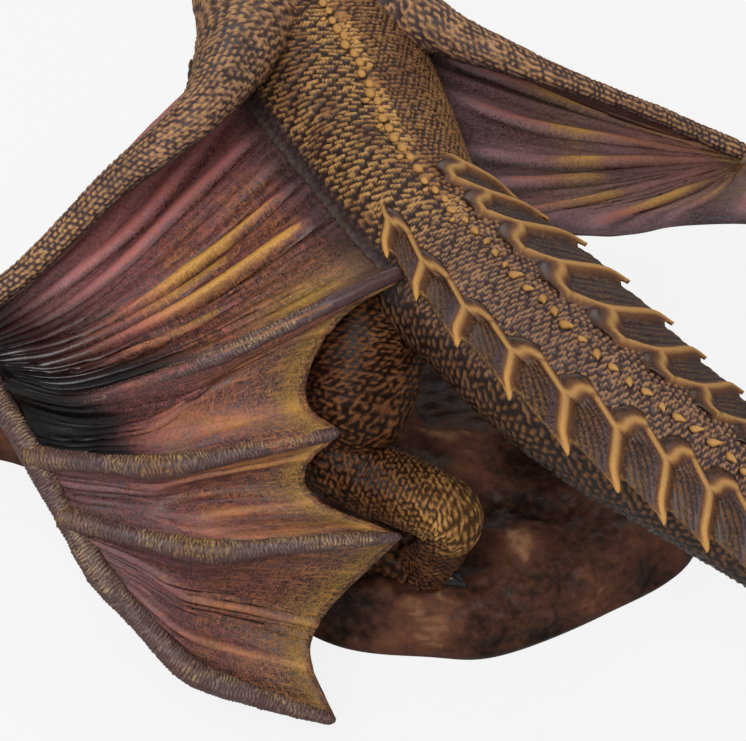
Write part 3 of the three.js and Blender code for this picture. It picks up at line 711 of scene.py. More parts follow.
def build_beads():
    """The row of drops down the spine, one modelled and the rest copied from it."""
    tints = colours()
    t, far = lengths(TRUNK)
    deselect()
    bpy.ops.mesh.primitive_uv_sphere_add(segments=10, ring_count=7, radius=1)
    drop = bpy.context.object
    bpy.ops.object.mode_set(mode="EDIT")
    bpy.ops.mesh.select_all(action="SELECT")
    bpy.ops.transform.resize(value=(1.25, 0.9, 0.8))
    bpy.ops.object.mode_set(mode="OBJECT")
    shape = np.array([v.co[:] for v in drop.data.vertices])
    made = []

    def place(here, lean, wide, thorn, spin, top):
        """Copies the drop to a place along the trunk, drawn out as far as it is a thorn."""
        foot = back(np.array(here), np.array(lean), 0.6)
        ahead = back(np.array(min(1, here + 0.004)), np.array(lean), 0.6)
        x = unit(ahead - foot)
        z = unit(foot - run(TRUNK)(here)[:3])
        z = unit(z - x * np.dot(x, z))
        y = np.cross(z, x)
        x, y = x * math.cos(spin) + y * math.sin(spin), y * math.cos(spin) - x * math.sin(spin)
        part = shape.copy()
        part[:, 0] *= 1 + 0.3 * thorn
        part[:, 1] *= 1 - thorn * 0.6 * np.clip(part[:, 0], 0, 1)
        part[:, 2] = part[:, 2] * (1 + 0.2 * thorn) + (0.3 + 0.5 * thorn) * np.clip(
            part[:, 0] + 0.3, 0, 2)
        turned = foot + wide * (part[:, :1] * x + part[:, 1:2] * y + part[:, 2:3] * z)
        copy = drop.copy()
        copy.data = drop.data.copy()
        bpy.context.collection.objects.link(copy)
        copy.data.vertices.foreach_set("co", (turned * MM).ravel())
        # rust at each drop's foot, gold on its top: the dark foot is painted shade
        up = np.clip(shape[:, 2] + 0.35 * shape[:, 0], -1, 1)
        keep(copy.data, "paint", blend(tints["rust"], top, ramp(up, -0.4, 0.75)))
        keep(copy.data, "relief", ramp(up, -0.6, 0.4))
        made.append(copy)

    s, k = 20.0, 0
    while s < far[-1] - 12:
        here = float(np.interp(s, far, t))
        tail = float(ramp(np.array(here), 0.49, 0.55))
        size = min(1.0, 0.4 + run(TRUNK)(here)[3] / 28)
        lean = 4 + 10 * float(ramp(np.array(here), 0.55, 0.66))
        a, b, c = (float(chance(k, 3.0 + 2 * n)) - 0.5 for n in range(3))
        wide = size * (1.3 - 0.05 * tail + 0.5 * a)
        top = blend(tints["gold"] * 0.85, tints["ochre"] * 0.75, np.array(0.5 + a))
        place(here, lean + 4 * b, wide, tail, (1.1 * c - 0.35) * tail + 0.5 * c, top)
        if tail < 0.6 and k % 3 == 0:
            place(min(1, here + 0.004), lean + (5.5 + 2 * c) * (1 if b > 0 else -1),
                  0.62 * wide, 0.0, 1.2 + c, top)
        s += size * (2.9 + 1.1 * tail + 1.0 * (c + 0.5))
        k += 1
    bpy.data.objects.remove(drop)
    beads = join("spine_beads", made)
    bpy.ops.object.shade_smooth()
    finish_piece(beads, finish("Ochre frill"))


def frill_point(side, t, reach, lift=0.0):
    """A place on a frill: reach is 1 at its edge, 0 at its root and less on the flank."""
    sign = 1 if side == "left" else -1
    size = run(TRUNK)(t)[..., 3] / 19
    start = ramp(t, 0.49, 0.57)
    first = 41 + 5 * start if side == "left" else 44.0
    spread = 45 + 30 * ramp(t, 0.52, 0.67) if side == "left" else 67.0
    spread = np.maximum(spread, first + 12)
    degrees = first + (spread - first) * reach
    stand = 9 * size * (0.35 + 0.65 * start)
    foot = 0.5 * FRILL_FORKS[side][0] + 0.5 * FRILL_FORKS[side][1]
    rise = np.clip((reach - foot) / (1 - foot), 0, 2) ** 1.4
    height = 0.8 + (stand - 0.8) * rise + lift
    outer, inward = (0.009, 0.0175) if side == "left" else (0.006, 0.009)
    slant = outer * (np.maximum(reach, 0) - 1) + inward * np.minimum(reach, 0)
    return back(np.minimum(1, t + slant), sign * degrees, height)


def rib_places(side):
    """Where a frill's ribs stand along the trunk: as in the photo, then at an even pitch."""
    ribs = list(FRILL_RIBS[side])
    while ribs[-1] + RIB_PITCH < LAST_RIB:
        ribs.append(ribs[-1] + RIB_PITCH)
    return np.array(ribs)


def frill_paint(tints, left, U, V, x, root, sizes, forms):
    """A frill's colours: streaked hollow panels, golden ribs, a worn rim and dark roots."""
    fork, scale = sizes
    rib, raised, panel, shadow, stria = forms
    speck = ramp(drift(U * 42, V * 34, 7), 0.45, 0.8)
    hollow = blend(tints["umber"] * 1.1, tints["slate"] * 0.9, 0.15 if left else 0.4)
    floor = np.broadcast_to(hollow, (*U.shape, 3))
    floor = blend(floor, tints["soot"] * 1.5, 0.7 * shadow * ramp(shadow, 0.2, 0.8))
    line = tints["bronze"] * 1.1 if left else tints["tan"] * 0.55
    floor = blend(floor, line, 0.9 * ramp(stria, 0.25, 0.8))
    floor = blend(floor, tints["gold"] * 0.9, 0.4 * speck * ramp(V, 0.3, 0.9))
    if left:
        floor = blend(floor, tints["slate"], 0.85 * ramp(x, 0.66, 0.76))
    # rust and bronze down the ribs' sides, painted shade, under crests of gold and ochre
    shaded_rib_side = blend(tints["rust"] * 1.4, tints["bronze"] * 0.7, 0.45)
    top = blend(tints["gold"] * 0.7, tints["ochre"] * 0.9, ramp(V, fork + 0.1, 0.9))
    crest = blend(np.broadcast_to(shaded_rib_side, (*U.shape, 3)), top, ramp(raised, 0.65, 1.0))
    paint = blend(crest, floor, panel * (1 - raised) ** 0.5)
    rim = ramp(V, 0.945, 0.985) * (0.5 + 0.5 * speck)
    paint = blend(paint, tints["ochre"] * 0.85, rim * (0.8 if left else 0.55))
    skin = blend(tints["umber"] * 1.1, tints["bronze"] * 0.8, 0.7 * drift(U * 9, V * 8, 12))
    return blend(paint, skin, ramp(root - V, 0.04 * scale, 0.1 * scale) * (1 - rib))


def build_frill():
    """Ribbed webs down both sides of the tail: forked ribs, arched roots, hollow panels."""
    tints = colours()
    for side in ("left", "right"):
        left = side == "left"
        fork, inner = FRILL_FORKS[side]
        ribs = rib_places(side)
        spans = len(ribs) - 1
        u = np.linspace(-0.1, spans + 0.1, POINTS_A_SPAN * spans)
        v = np.linspace(inner - 0.2, 1, POINTS_OUTWARD)
        U, V = np.meshgrid(u, v, indexing="ij")
        T = np.interp(U, np.arange(spans + 1), ribs)
        T = T + np.clip(U - spans, 0, 1) * 0.02 - np.clip(-U, 0, 1) * 0.03
        # x runs from 0 on one rib to 1 on the next, and off is how far the nearer rib is
        bend = 0.24 * (1 - ramp(V, inner, fork + 0.1))
        x = np.mod(U + bend, 1)
        off = np.minimum(x, 1 - x)
        scale = 1 - inner
        thin = ramp(V, inner - 0.05, fork + 0.15)
        wide = 0.075 + 0.03 * thin + 0.03 * ramp(V, 0.86, 1.0)
        rib = np.exp(-(off / wide) ** 2) * ramp(V, inner - 0.1 * scale, inner + 0.08 * scale)
        root = fork + (inner - fork) * ramp(x, -0.3, 0.95) ** 1.5
        arch = np.exp(-((V - root) / (0.06 * scale)) ** 2)
        panel = ramp(V - root, 0.03 * scale, 0.12 * scale) * ramp(x, wide, 2 * wide) * ramp(
            1 - x, wide, 1.9 * wide)
        fade = ramp(root - V, 0.1 * scale, 0.25 * scale) * (1 - rib)
        web = ramp(root - V, -0.02 * scale, 0.06 * scale)
        slant = x - 0.45 * np.clip(V, 0, 1) if left else x - 0.1 * V
        stria = 0.5 + 0.5 * np.sin(2 * np.pi * (slant * 6.0 + 0.4 * drift(U * 2, V * 3, 4)))
        stria = stria * (0.45 + 0.55 * drift(U * 5, V * 4, 6))
        shadow = 0.6 * (1 - ramp(x, 0.05, 0.5)) + 0.4 * (1 - ramp(V - root, 0.1, 0.5))
        # ribs and arches stand up, the panels are hollow, and the inner skin sinks into the tail
        size = np.clip(run(TRUNK)(T)[..., 3] / 19, 0.25, 1)
        deep = 0.45 + 0.55 * ramp(V, fork - 0.2, 0.5)
        crown = np.maximum(rib * (0.6 + 0.4 * thin), 0.85 * arch)
        lift = (1.35 * crown + 0.45 * web * (1 - crown) - 1.7 * deep * panel * shadow
                - 0.2 * panel + 0.3 * stria * panel) * size - 2.8 * fade
        # between the points of the ribs the edge sags, and each point is hooked
        edge = 0.83 + 0.17 * x ** 1.4 + 0.2 * np.exp(-(x / 0.075) ** 2)
        edge = edge + 0.05 * np.exp(-((1 - x) / 0.06) ** 2) + 0.012 * np.sin(x * 40)
        reach = np.where(V > 0, V * edge, V)
        points = frill_point(side, T, reach, lift)
        ahead = frill_point(side, T + 0.002, reach, lift)
        hook = 3.2 * ramp(reach, 0.55, 1.1) ** 2 * np.exp(-(off / 0.14) ** 2)
        points = points + unit(ahead - points) * (hook * size)[..., None]
        raised = np.clip(np.maximum(rib, arch), 0, 1)
        paint = frill_paint(tints, left, U, V, x, root, (fork, scale),
                            (rib, raised, panel, shadow, stria))
        piece = sculpt("frill_" + side, points, paint, np.clip(0.45 + 0.55 * raised, 0, 1),
                       (spans * 12, 20), wrap=False, thickness=FRILL_THICKNESS)
        finish_piece(piece, finish("Ochre frill"))


def membrane(lead, trail, edge, sag):
    """The skin between two bones, as in the solids, without its folds."""
    lead, trail = np.asarray(lead, float), np.asarray(trail, float)
    bone, spar, near = run(lead), run(trail), run([lead[0], trail[0]])
    far = run([lead[-1][:3], *edge, trail[-1][:3]])

    def flat(u, v):
        a, b = u[..., None], v[..., None]
        out = bone(v)[..., :3] * (1 - a) + spar(v)[..., :3] * a
        out = out + near(u)[..., :3] * (1 - b) + far(u)[..., :3] * b
        return (out - lead[0][:3] * (1 - a) * (1 - b) - trail[0][:3] * a * (1 - b)
                - lead[-1][:3] * (1 - a) * b - trail[-1][:3] * a * b)

    def surface(u, v):
        a, b = np.clip(u, 0.02, 0.98), np.clip(v, 0.02, 0.98)
        normal = unit(np.cross(flat(a + 0.02, b) - flat(a - 0.02, b),
                               flat(a, b + 0.02) - flat(a, b - 0.02)))
        normal = np.where((normal @ FACING)[..., None] < 0, -normal, normal)
        slack = np.sin(np.pi * np.clip(u, 0, 1))
        spread = np.sin(np.pi * np.clip(0.1 + 0.75 * v, 0, 1))
        return flat(u, v) - normal * (sag * slack * spread)[..., None], normal
    return surface


def scallop(lead, trail, depth=0.36):
    """Points on a free edge that sags in between two fingertips."""
    tip, other = np.array(lead[-1][:3], float), np.array(trail[-1][:3], float)
    hand = (np.array(lead[0][:3], float) + np.array(trail[0][:3], float)) / 2
    points = []
    for u in (0.25, 0.5, 0.75):
        point = tip + (other - tip) * u
        points.append(point + (hand - point) * depth * math.sin(math.pi * u))
    return points


def folds(u, v, count, seed, creases=()):
    """Folds that run out from the hand: coarse ones, with long creases if any, and fine ones."""
    bend = 0.7 * (drift(u * 3, v * 2.2, seed + 8) - 0.5)
    a = drift(u * count + bend, v * 1.1, seed)
    b = drift(u * count * 2.6 + 2 * bend, v * 1.6, seed + 3)
    coarse, fine = (1 - np.abs(2 * a - 1)) ** 3.4, (1 - np.abs(2 * b - 1)) ** 3.5
    if creases:
        coarse = 0.3 * coarse
    for k, place in enumerate(creases):
        off = u - place - 0.05 * (drift(v * 1.6, 0 * v + k, seed + 1) - 0.5)
        strength = ramp(drift(v * 2.5, 0 * v + k, seed + 2), 0.1, 0.5) * (1 - ramp(v, 0.85, 0.98))
        strength = strength * (0.35 + 0.65 * ramp(v, 0.1, 0.5))
        coarse = coarse + strength * (np.exp(-(off / 0.01) ** 2)
                                      - 0.6 * np.exp(-((off - 0.022) / 0.013) ** 2))
    return coarse, fine


def slim(rows, share, toward, last):
    """Thins a bone's first rows, and keeps its outer edge where it was."""
    out = []
    for k, row in enumerate(rows):
        kept = share if k <= last else share + (1 - share) * min(1, (k - last) / 2)
        move = np.array(toward) * row[3] * (1 - kept)
        out.append((*(np.array(row[:3]) + move), row[3] * kept, row[4] * kept))
    return out


def build_wing(name, bones):
    """A wing's webs, with folds that fan out from the hand, and then its bones."""
    tints = colours()
    arm = bones["arm"]
    forearm = arm[:bones["elbow"] + 1]
    left = name == "left"
    fixed = [tuple(back(np.array(t), np.array(float(d)), -1.0)) for t, d in bones["flank"]]
    fixed += bones["trailing"]
    pairs = [(forearm, bones["inner"], fixed)]
    fingers = [bones["inner"], bones["first"], bones["second"], bones["third"]]
    for k in range(3):
        lead, trail = fingers[k], fingers[k + 1]
        edge = bones["edges"][k] if bones["edges"] else scallop(lead, trail)
        pairs.append((lead, trail, edge))
    webs = []
    for k, ((lead, trail, edge), (across, along)) in enumerate(zip(pairs, bones["grids"])):
        u = np.linspace(0, 1, across)
        v = np.linspace(0, 1, along)
        U, V = np.meshgrid(u, v, indexing="ij")
        surface = membrane(lead, trail, edge, bones["sags"][k])
        points, normal = surface(U, V)
        creases = CREASES[name] if k == 0 else ()
        coarse, fine = folds(U, V, FOLD_COUNTS[k], 30 + 7 * k + (0 if left else 50), creases)
        held = np.sin(np.pi * U) ** 0.6
        tall = 1.5 - 0.85 * ramp(V, 0.55, 1.0)
        if k == 0 and left:
            tall = tall * (0.5 + 0.7 * ramp(U, 0.3, 0.6)) * (1 - 0.7 * ramp(U, 0.8, 0.9))
        lift = (1.5 * coarse + 0.8 * fine) * held * tall * ramp(V, 0.0, 0.12)
        lift = lift - 1.6 * held ** 3 * ramp(V, 0.05, 0.3) * (1 - ramp(V, 0.6, 1.0))
        # the skin climbs its bones on both sides
        wide = np.linalg.norm(points[-1] - points[0], axis=-1)[None]
        near = np.minimum(U, 1 - U) * wide
        lift = lift + 2.0 * np.exp(-(near / 3.4) ** 2) * (1 - ramp(V, 0.85, 1.0))
        free = 0 if k == 0 and left else 1
        lift = lift + 0.35 * np.exp(-((V - 0.985) / 0.02) ** 2) * free
        points = points + normal * (lift - 0.7)[..., None]
        if k > 0:
            paint, dry = outer_web_paint(k, U, V, coarse * tall, fine, tints, left)
        elif left:
            paint, dry = left_web_paint(U, V, coarse * tall, tints)
        else:
            paint, dry = right_web_paint(U, V, coarse * tall, tints)
        relief = 0.42 + 0.5 * coarse + 0.2 * fine if creases else 0.36 + 0.4 * coarse + 0.1 * fine
        relief = np.clip(relief, 0, 1)
        webs.append(sculpt(f"{name}_web_{k}", points, paint, relief,
                           (float(wide.max()), GRAIN_LENGTHS[k]), wrap=False,
                           thickness=WEB_THICKNESS, dry=dry))
    webs[0].name = webs[0].data.name = f"{name}_membrane"
    for skin in (webs[0], join(f"{name}_outer_membrane", webs[1:])):
        finish_piece(skin, finish("Airbrushed membrane"))
    build_wing_bones(name, bones, tints)


def clouds(U, V, k):
    """Large and small soft patches over a web."""
    return drift(U * 6, V * 5, 60 + k), drift(U * 19, V * 14, 70 + k)


def inner_grounds(U, small, tints):
    """The slate and the salmon ground of the webs nearest the body."""
    slate = np.broadcast_to(tints["slate"], (*U.shape, 3))
    return slate, blend(slate * 1.25, tints["crimson"] * 1.15, 0.45 + 0.3 * (small - 0.5))


def brushed(colour, amount):
    """A dry-brushed colour, with how much of it there is in its alpha."""
    return np.concatenate([colour, amount[..., None]], -1)


def right_web_paint(U, V, coarse, tints):
    """Ground and dry brush of the right wing's first web: grey, golden near the wrist, painted
    shade at it.
    """
    cloud, small = clouds(U, V, 0)
    slate, salmon = inner_grounds(U, small, tints)
    ground = blend(slate * 1.7, tints["crimson"], 0.2 + 0.5 * (1 - ramp(V, 0.1, 0.5)))
    ground = blend(ground, tints["crimson"] * 0.9, 0.6 * ramp(coarse, 0.3, 1.0))
    ground = blend(ground, salmon, 0.6 * ramp(U, 0.86, 0.97))
    gilt = (0.3 + 0.7 * ramp(cloud, 0.3, 0.6)) * (1 - ramp(V, 0.55, 0.85))
    ground = blend(ground, tints["yellow"] * 0.6, 0.6 * ramp(coarse, 0.4, 1.0) * gilt)
    # near black at the wrist: painted shade in the hollow where the web starts
    ground = blend(ground, tints["soot"] * 1.3, 0.75 * (1 - ramp(V, 0.02, 0.18)))
    ground = blend(ground, slate * 0.6, 0.6 * ramp(V, 0.86, 1.0))
    ground = blend(ground, tints["crimson"] * 0.55, 0.8 * ramp(U, 0.9, 0.98))
    amount = (0.3 + 0.25 * ramp(cloud, 0.3, 0.8)) * (1 - ramp(V, 0.75, 0.95))
    dry = blend(tints["crimson"] * 1.6, tints["orange"], small)
    return ground, brushed(blend(dry, tints["yellow"], gilt), amount)


def left_web_paint(U, V, coarse, tints):
    """Ground and dry brush of the left wing's first web: salmon to slate, near-black painted shade
    in the hollow beside its finger and at the wrist, and a yellow glow at that finger's end."""
    cloud, small = clouds(U, V, 0)
    slate, salmon = inner_grounds(U, small, tints)
    middle = ramp(U, 0.2, 0.42)
    ground = blend(salmon * 3.0, slate * 0.9, 0.9 * middle)
    ground = blend(ground, tints["crimson"] * 0.5, 0.55 * ramp(cloud, 0.4, 0.8) * middle)
    # dark crimson near the wrist: painted shade where the folds crowd in
    dark = 1 - ramp(V - 0.15 * ramp(U, 0.1, 0.5), 0.05, 0.38)
    ground = blend(ground, tints["crimson"] * 0.2, 0.94 * dark)
    line = ramp(coarse, 0.5, 1.0)
    ground = blend(ground, blend(tints["crimson"], tints["orange"] * 0.8, ramp(V, 0.4, 0.8)),
                   0.7 * line * ramp(V, 0.15, 0.5))
    # near black beside the finger and at the wrist: painted shade in the trough
    trough = (np.exp(-((U - 0.84) / 0.15) ** 2) * (1 - ramp(V, 0.3, 0.72))
              + 0.8 * (1 - ramp(V, 0.04, 0.2)))
    ground = blend(ground, tints["soot"] * 1.2, trough * 0.97)
    ground = blend(ground, slate * 0.6, 0.8 * ramp(V, 0.86, 0.97))
    ground = blend(ground, slate * 0.7, 0.7 * (1 - ramp(U, 0.0, 0.05)))
    band = ramp(U, 0.3, 0.42) * (1 - ramp(U, 0.78, 0.88))
    gilt = band * ramp(V, 0.35, 0.6)
    ground = blend(ground, tints["yellow"] * 0.7, 0.6 * line * gilt)
    glow = np.exp(-((U - 0.86) / 0.11) ** 2 - ((V - 0.78) / 0.16) ** 2)
    ground = blend(ground, tints["yellow"], 0.85 * glow * (0.6 + 0.4 * small))
    amount = (0.95 * (1 - ramp(trough, 0.3, 0.9)) * (1 - 0.85 * ramp(V, 0.84, 0.95))
              * (1 - 0.7 * (1 - ramp(U, 0.03, 0.12))) * ramp(V, 0.15, 0.55) + 0.25 * glow)
    dry = blend(tints["crimson"] * 2.3, tints["orange"] * 1.25,
                ramp(small + 0.6 * band + 0.2 * V, 0.7, 1.5))
    return ground, brushed(blend(dry, tints["yellow"], np.clip(glow + 0.8 * gilt * line, 0, 1)),
                           amount)


def outer_web_paint(k, U, V, coarse, fine, tints, left):
    """Ground and dry brush of the k-th web between fingers: warmer outward, yellow-edged, shaded at
    the wrist.
    """
    cloud, small = clouds(U, V, k)
    crest = ramp(coarse, 0.35, 0.95)
    ridge = ramp(coarse, 0.65, 1.0)
    hair = ramp(fine, 0.45, 0.95)
    slate = np.broadcast_to(tints["slate"], (*U.shape, 3))
    warm = ramp(V, 0.18, 0.7)
    ground = blend(slate * 1.4, tints["crimson"] * 1.15,
                   (0.25 + 0.5 * ramp(cloud, 0.3, 0.7)) * warm)
    # pit: dark crimson and near black towards the wrist, painted shade in the folds' deep roots
    if k == 1:
        deepest = 0.12 + 0.15 * U if left else np.full(U.shape, 0.02)
        pit = 1 - ramp(V - deepest, 0.0, 0.22)
        ground = blend(ground, tints["crimson"] * 0.5, 0.6 * (1 - warm))
    else:
        pit = 0.5 * (1 - ramp(V, 0.0, 0.1))
    strong = (0.7, 0.4, 0.35)[k - 1]
    ground = blend(ground, tints["orange"], strong * crest * warm * (0.35 + 0.65 * small))
    ground = blend(ground, tints["yellow"] * 0.9,
                   (0.6 * ridge * ramp(V, 0.4, 0.8) + 0.4 * hair * ramp(V, 0.4, 0.8))
                   * (0.4 + 0.6 * ramp(cloud, 0.3, 0.65)))
    ground = blend(ground, slate * 0.6, 0.5 * ramp(np.abs(2 * U - 1), 0.7, 0.92))
    ground = blend(ground, tints["yellow"] * 1.1, 0.9 * ramp(V, 0.87, 0.95) * (0.65 + 0.35 * small))
    ground = blend(ground, tints["crimson"] * 0.7, 0.95 * ramp(V, 0.968, 0.982))
    # painted shade at the wrist
    ground = blend(ground, tints["soot"] * 1.2, 0.97 * pit)
    amount = (0.6 + 0.4 * warm) * (1 - ramp(pit, 0.2, 0.8))
    dry = blend(tints["crimson"] * 2.1, tints["orange"] * 1.25, ramp(small + warm * 0.6, 0.5, 1.3))
    return ground, brushed(blend(dry, tints["yellow"], ramp(V, 0.7, 0.95) * 0.6), amount)


def finger_dress(tints, cream, length, calm=0.0):
    """Fine wrinkles round a finger; a calm one starts black at the wrist, painted shade, and ends
    smooth.
    """
    def dress(S, turn, radius, T):
        wobble = 1.3 * drift(turn / 30, S / 1.8, 5) + 0.4 * np.abs(turn) / 90
        ring = 0.5 + 0.5 * np.sin(2 * np.pi * (S / 0.95 + wobble))
        uneven = 0.3 + 0.7 * drift(turn / 18, S / 1.3, 6)
        rest = 1 - calm * ramp(S, length * 0.72, length * 0.92)
        # a calm finger's root is smooth and near black: painted shade in the hollow at the wrist
        in_wrist_shade = calm * (1 - ramp(S, 17, 26))
        ring = ring * uneven * rest * (1 - in_wrist_shade)
        knuckle = ramp(radius, radius.mean() * 1.05, radius.mean() * 1.3)
        lift = 0.4 * ring + 0.3 * rough(turn / 40, S / 4, 11, 2) * (1 - in_wrist_shade)
        ground = blend(tints["slate"] * 0.6, tints["crimson"] * 0.5,
                       0.6 * drift(turn / 50, S / 9, 8))
        patch = ramp(drift(turn / 60, S / 5, 18), 0.3, 0.8)
        top = blend(tints["slate"] * 1.7, tints["bone"], 0.55 + 0.35 * patch)
        top = blend(top, tints["yellow"], 0.75 * np.maximum(knuckle, cream * patch))
        # less of the pale wrinkle paint down the sides and underneath: painted shade
        top = blend(ground, top, (0.55 + 0.45 * patch)
                    * (1 - 0.7 * ramp(np.abs(turn), 60, 110)))
        tip = ramp(S, length - 9, length - 3)
        end = 0.97 * np.clip((S - length) / 2.6 + 1, 0, 1)
        lift = lift * (1 - 0.7 * tip) - radius * (1 - np.sqrt(1 - end ** 2))
        top = blend(blend(top, tints["slate"] * 1.25, 0.75 * tip), tints["soot"], in_wrist_shade)
        ground = blend(ground, tints["soot"], in_wrist_shade)
        return lift, top, ground, np.clip(0.1 + 0.9 * ring, 0, 1)
    return dress


def arm_dress(tints):
    """Fine scales on the forearm, long ones along the upper arm, and painted shade underneath."""
    def dress(S, turn, radius, T):
        across = np.radians(turn) * radius
        thick = ramp(radius, 5.0, 9.0)
        long = radius > 6.5
        fine = strokes(S, across, **SCALES["forearm"])
        large = strokes(S, across, **SCALES["upper arm"])
        height = np.where(long, large, fine)
        soft = rough(across / 5, S / 7, 3, 2)
        patch = drift(across / 3, S / 5, 24)
        ground = blend(tints["umber"], tints["slate"] * 0.9, 0.5 + 0.2 * (1 - thick))
        top = blend(tints["gold"], tints["tan"], 0.5 + 0.4 * ramp(patch, 0.45, 0.9))
        # dark slate under the arm's sides: painted shade
        dark = 0.85 * ramp(np.abs(turn), 85, 125)
        relief = np.clip(height * (0.75 + 0.25 * patch) + 0.15 * soft, 0, 1)
        return ((0.4 + 0.3 * thick) * height + 0.3 * soft, blend(top, tints["slate"] * 0.6, dark),
                blend(ground, tints["slate"] * 0.4, dark), relief)
    return dress


def build_wing_bones(name, bones, tints):
    """The scaly arm and the four wrinkled fingers, each slimmer than its solid."""
    step, around = bones["arm_skin"]
    arm = tube(f"{name}_arm", slim(bones["arm"], *bones["slimming"]), step, around,
               dress=arm_dress(tints))
    finish_piece(arm, finish("Gold dry-brushed scales"))
    still = (0, 0, 0)
    parts = []
    step, around = bones["finger_skin"]
    for label, rows, cream, calm in (
            ("hand", slim(bones["hand"][:-1], 0.8, still, 9) + bones["third"], 0.3, 0.0),
            ("inner", slim(bones["inner"], 0.66, still, 3), 0.3, 1.0),
            ("first", slim(bones["first"], 0.84, still, 9), 0.5, 0.0),
            ("second", slim(bones["second"], 0.86, still, 9), 0.45, 0.0)):
        total = lengths(rows)[1][-1]
        parts.append(tube(f"{name}_{label}", rows, step, around,
                          dress=finger_dress(tints, cream, total, calm)))
    finish_piece(join(f"{name}_fingers", parts), finish("Wrinkled finger"))


def leg_dress(tints, hock=None, grow=1.0):
    """Slanting scales over warm brown, darkened as painted shade, and rubbed brighter at the hock.
    """
    def dress(S, turn, radius, T):
        across = np.radians(turn) * radius / grow
        S = S / grow
        fine = strokes(across, S, **SCALES["shin"])
        large = strokes(across, S, **SCALES["thigh"])
        height = np.where(radius > 9.5, large, fine)
        patch = rough(across / 5, S / 7, 12, 3)
        # dark copies of the body's paints: warm brown, darkened further as painted shade under the
        # body
        top = blend(tints["orange"] * 0.42, tints["bronze"] * 0.65, 0.5 + 0.5 * patch)
        ground = blend(tints["rust"] * 0.4, tints["umber"] * 0.25, 0.3 + 0.4 * patch)
        if hock is not None:
            worn = np.exp(-((T - hock) / 0.07) ** 2)
            top = blend(top, tints["gold"], 0.9 * worn)
            ground = blend(ground, tints["bronze"] * 0.6, 0.7 * worn)
        relief = np.clip(height * (0.8 + 0.3 * patch) + 0.12 * ramp(patch, 0.2, 0.7), 0, 1)
        return 0.5 * height + 0.45 * patch, top, ground, relief
    return dress


def plain_dress(tint):
    """One smooth coat of paint."""
    def dress(S, turn, radius, T):
        flat = np.zeros_like(S)
        return flat, np.broadcast_to(tint, (*S.shape, 3)), None, flat + 1
    return dress


def build_legs():
    """Four legs, and on each paw three toes and a spur with their claws."""
    tints = colours()
    for name, rows in LEGS.items():
        # the leg that the photo shows has the finest skin
        step, around, grow = (0.55, 104, 1.0) if name == "left_hind" else (0.95, 58, 2.0)
        dress = leg_dress(tints, 0.64 if "hind" in name else None, grow)
        piece = tube(name + "_leg", rows, step, around, reference=ACROSS, dress=dress)
        finish_piece(piece, finish("Dark scales"))
    toes, claws = [], []
    scaly, black = leg_dress(tints, grow=1.8), plain_dress(tints["soot"])
    for stand, heading, heel in PAWS:
        centre = np.array(stand, float)
        for turn in TOE_TURNS:
            way = math.radians(heading + turn)
            out = np.array([math.cos(way), math.sin(way), 0.0])
            toe, claw = ([(*(centre + out * TOE_LENGTH * share + UP * lift), wide, tall)
                          for share, lift, wide, tall in form] for form in (TOE, CLAW))
            toes.append(tube("toe", toe, 0.9, 24, dress=scaly))
            claws.append(tube("claw", claw, 0.8, 16, dress=black))
        spur = np.array(heel, float)
        away = unit((spur - centre) * np.array([1, 1, 0]))
        pad = [(*(centre + UP * 3), 4.5, 4.5), (*(spur * 0.6 + centre * 0.4 + UP), 3.6, 3.6),
               (*spur, 2.8, 2.8)]
        toes.append(tube("spur", pad, 0.8, 24, dress=scaly))
        nail = [(*(spur + UP * 0.4), 2.4, 2.4), (*(spur + away * 3), 1.9, 1.9),
                (*(spur + away * 6 - UP * 2), 0.3, 0.3)]
        claws.append(tube("spur_claw", nail, 0.8, 16, dress=black))
    finish_piece(join("toes", toes), finish("Dark scales"))
    finish_piece(join("claws", claws), finish("Black claw"))


def eye_dress(tints):
    """A yellow eye with a black slit across it."""
    def dress(S, turn, radius, T):
        flat = np.zeros_like(S)
        pupil = np.exp(-((T - 0.5) / 0.09) ** 2)
        paint = blend(np.broadcast_to(tints["yellow"], (*S.shape, 3)), tints["soot"], pupil)
        return flat, paint, None, flat + 1
    return dress


def head_part(name, form, step, around, dress, side=1, at=(0, 0), reference=UP):
    """A form of the head on one side of it, moved ahead and up to its place."""
    forward = unit(np.array(GAZE))
    across = unit(np.cross(forward, UP))
    crown = np.cross(across, forward)
    rows = [(*(np.array(NAPE) + forward * (at[0] + ahead) + across * (right * side)
               + crown * (at[1] + up)), wide, tall) for ahead, right, up, wide, tall in form]
    return tube(name, rows, step, around, reference, dress)


def build_head():
    """Skull, jaw and brows with scales, horns, and the eyes and teeth."""
    tints = colours()
    scaly, bony = leg_dress(tints), plain_dress(tints["bone"])
    spiky = finger_dress(tints, 0.8, 40)
    parts = [head_part("skull", SKULL, 0.7, 72, scaly), head_part("jaw", JAW, 0.8, 44, scaly)]
    horns, teeth = [], []
    for side in (-1, 1):
        parts.append(head_part("brow", BROW, 0.6, 24, scaly, side))
        parts.append(head_part("nostril", NOSTRIL, 0.6, 20, scaly, side))
        horns.append(head_part("horn", HORN, 0.6, 28, finger_dress(tints, 0.8, 60), side))
        for at in CHEEK_HORN_ROOTS:
            horns.append(head_part("cheek", CHEEK_HORN, 0.7, 18, spiky, side, at))
        for ahead in TOOTH_PLACES:
            teeth.append(head_part("tooth", TOOTH, 0.5, 12, bony, side, (ahead, 0), ACROSS))
        teeth.append(head_part("eye", EYE, 0.3, 18, eye_dress(tints), side))
    horns.append(head_part("nose_horn", NOSE_HORN, 0.5, 18, spiky, reference=ACROSS))
    finish_piece(join("head", parts), finish("Gold dry-brushed scales"))
    finish_piece(join("horns", horns), finish("Ochre frill"))
    finish_piece(join("eyes_and_teeth", teeth), finish("Black claw"))


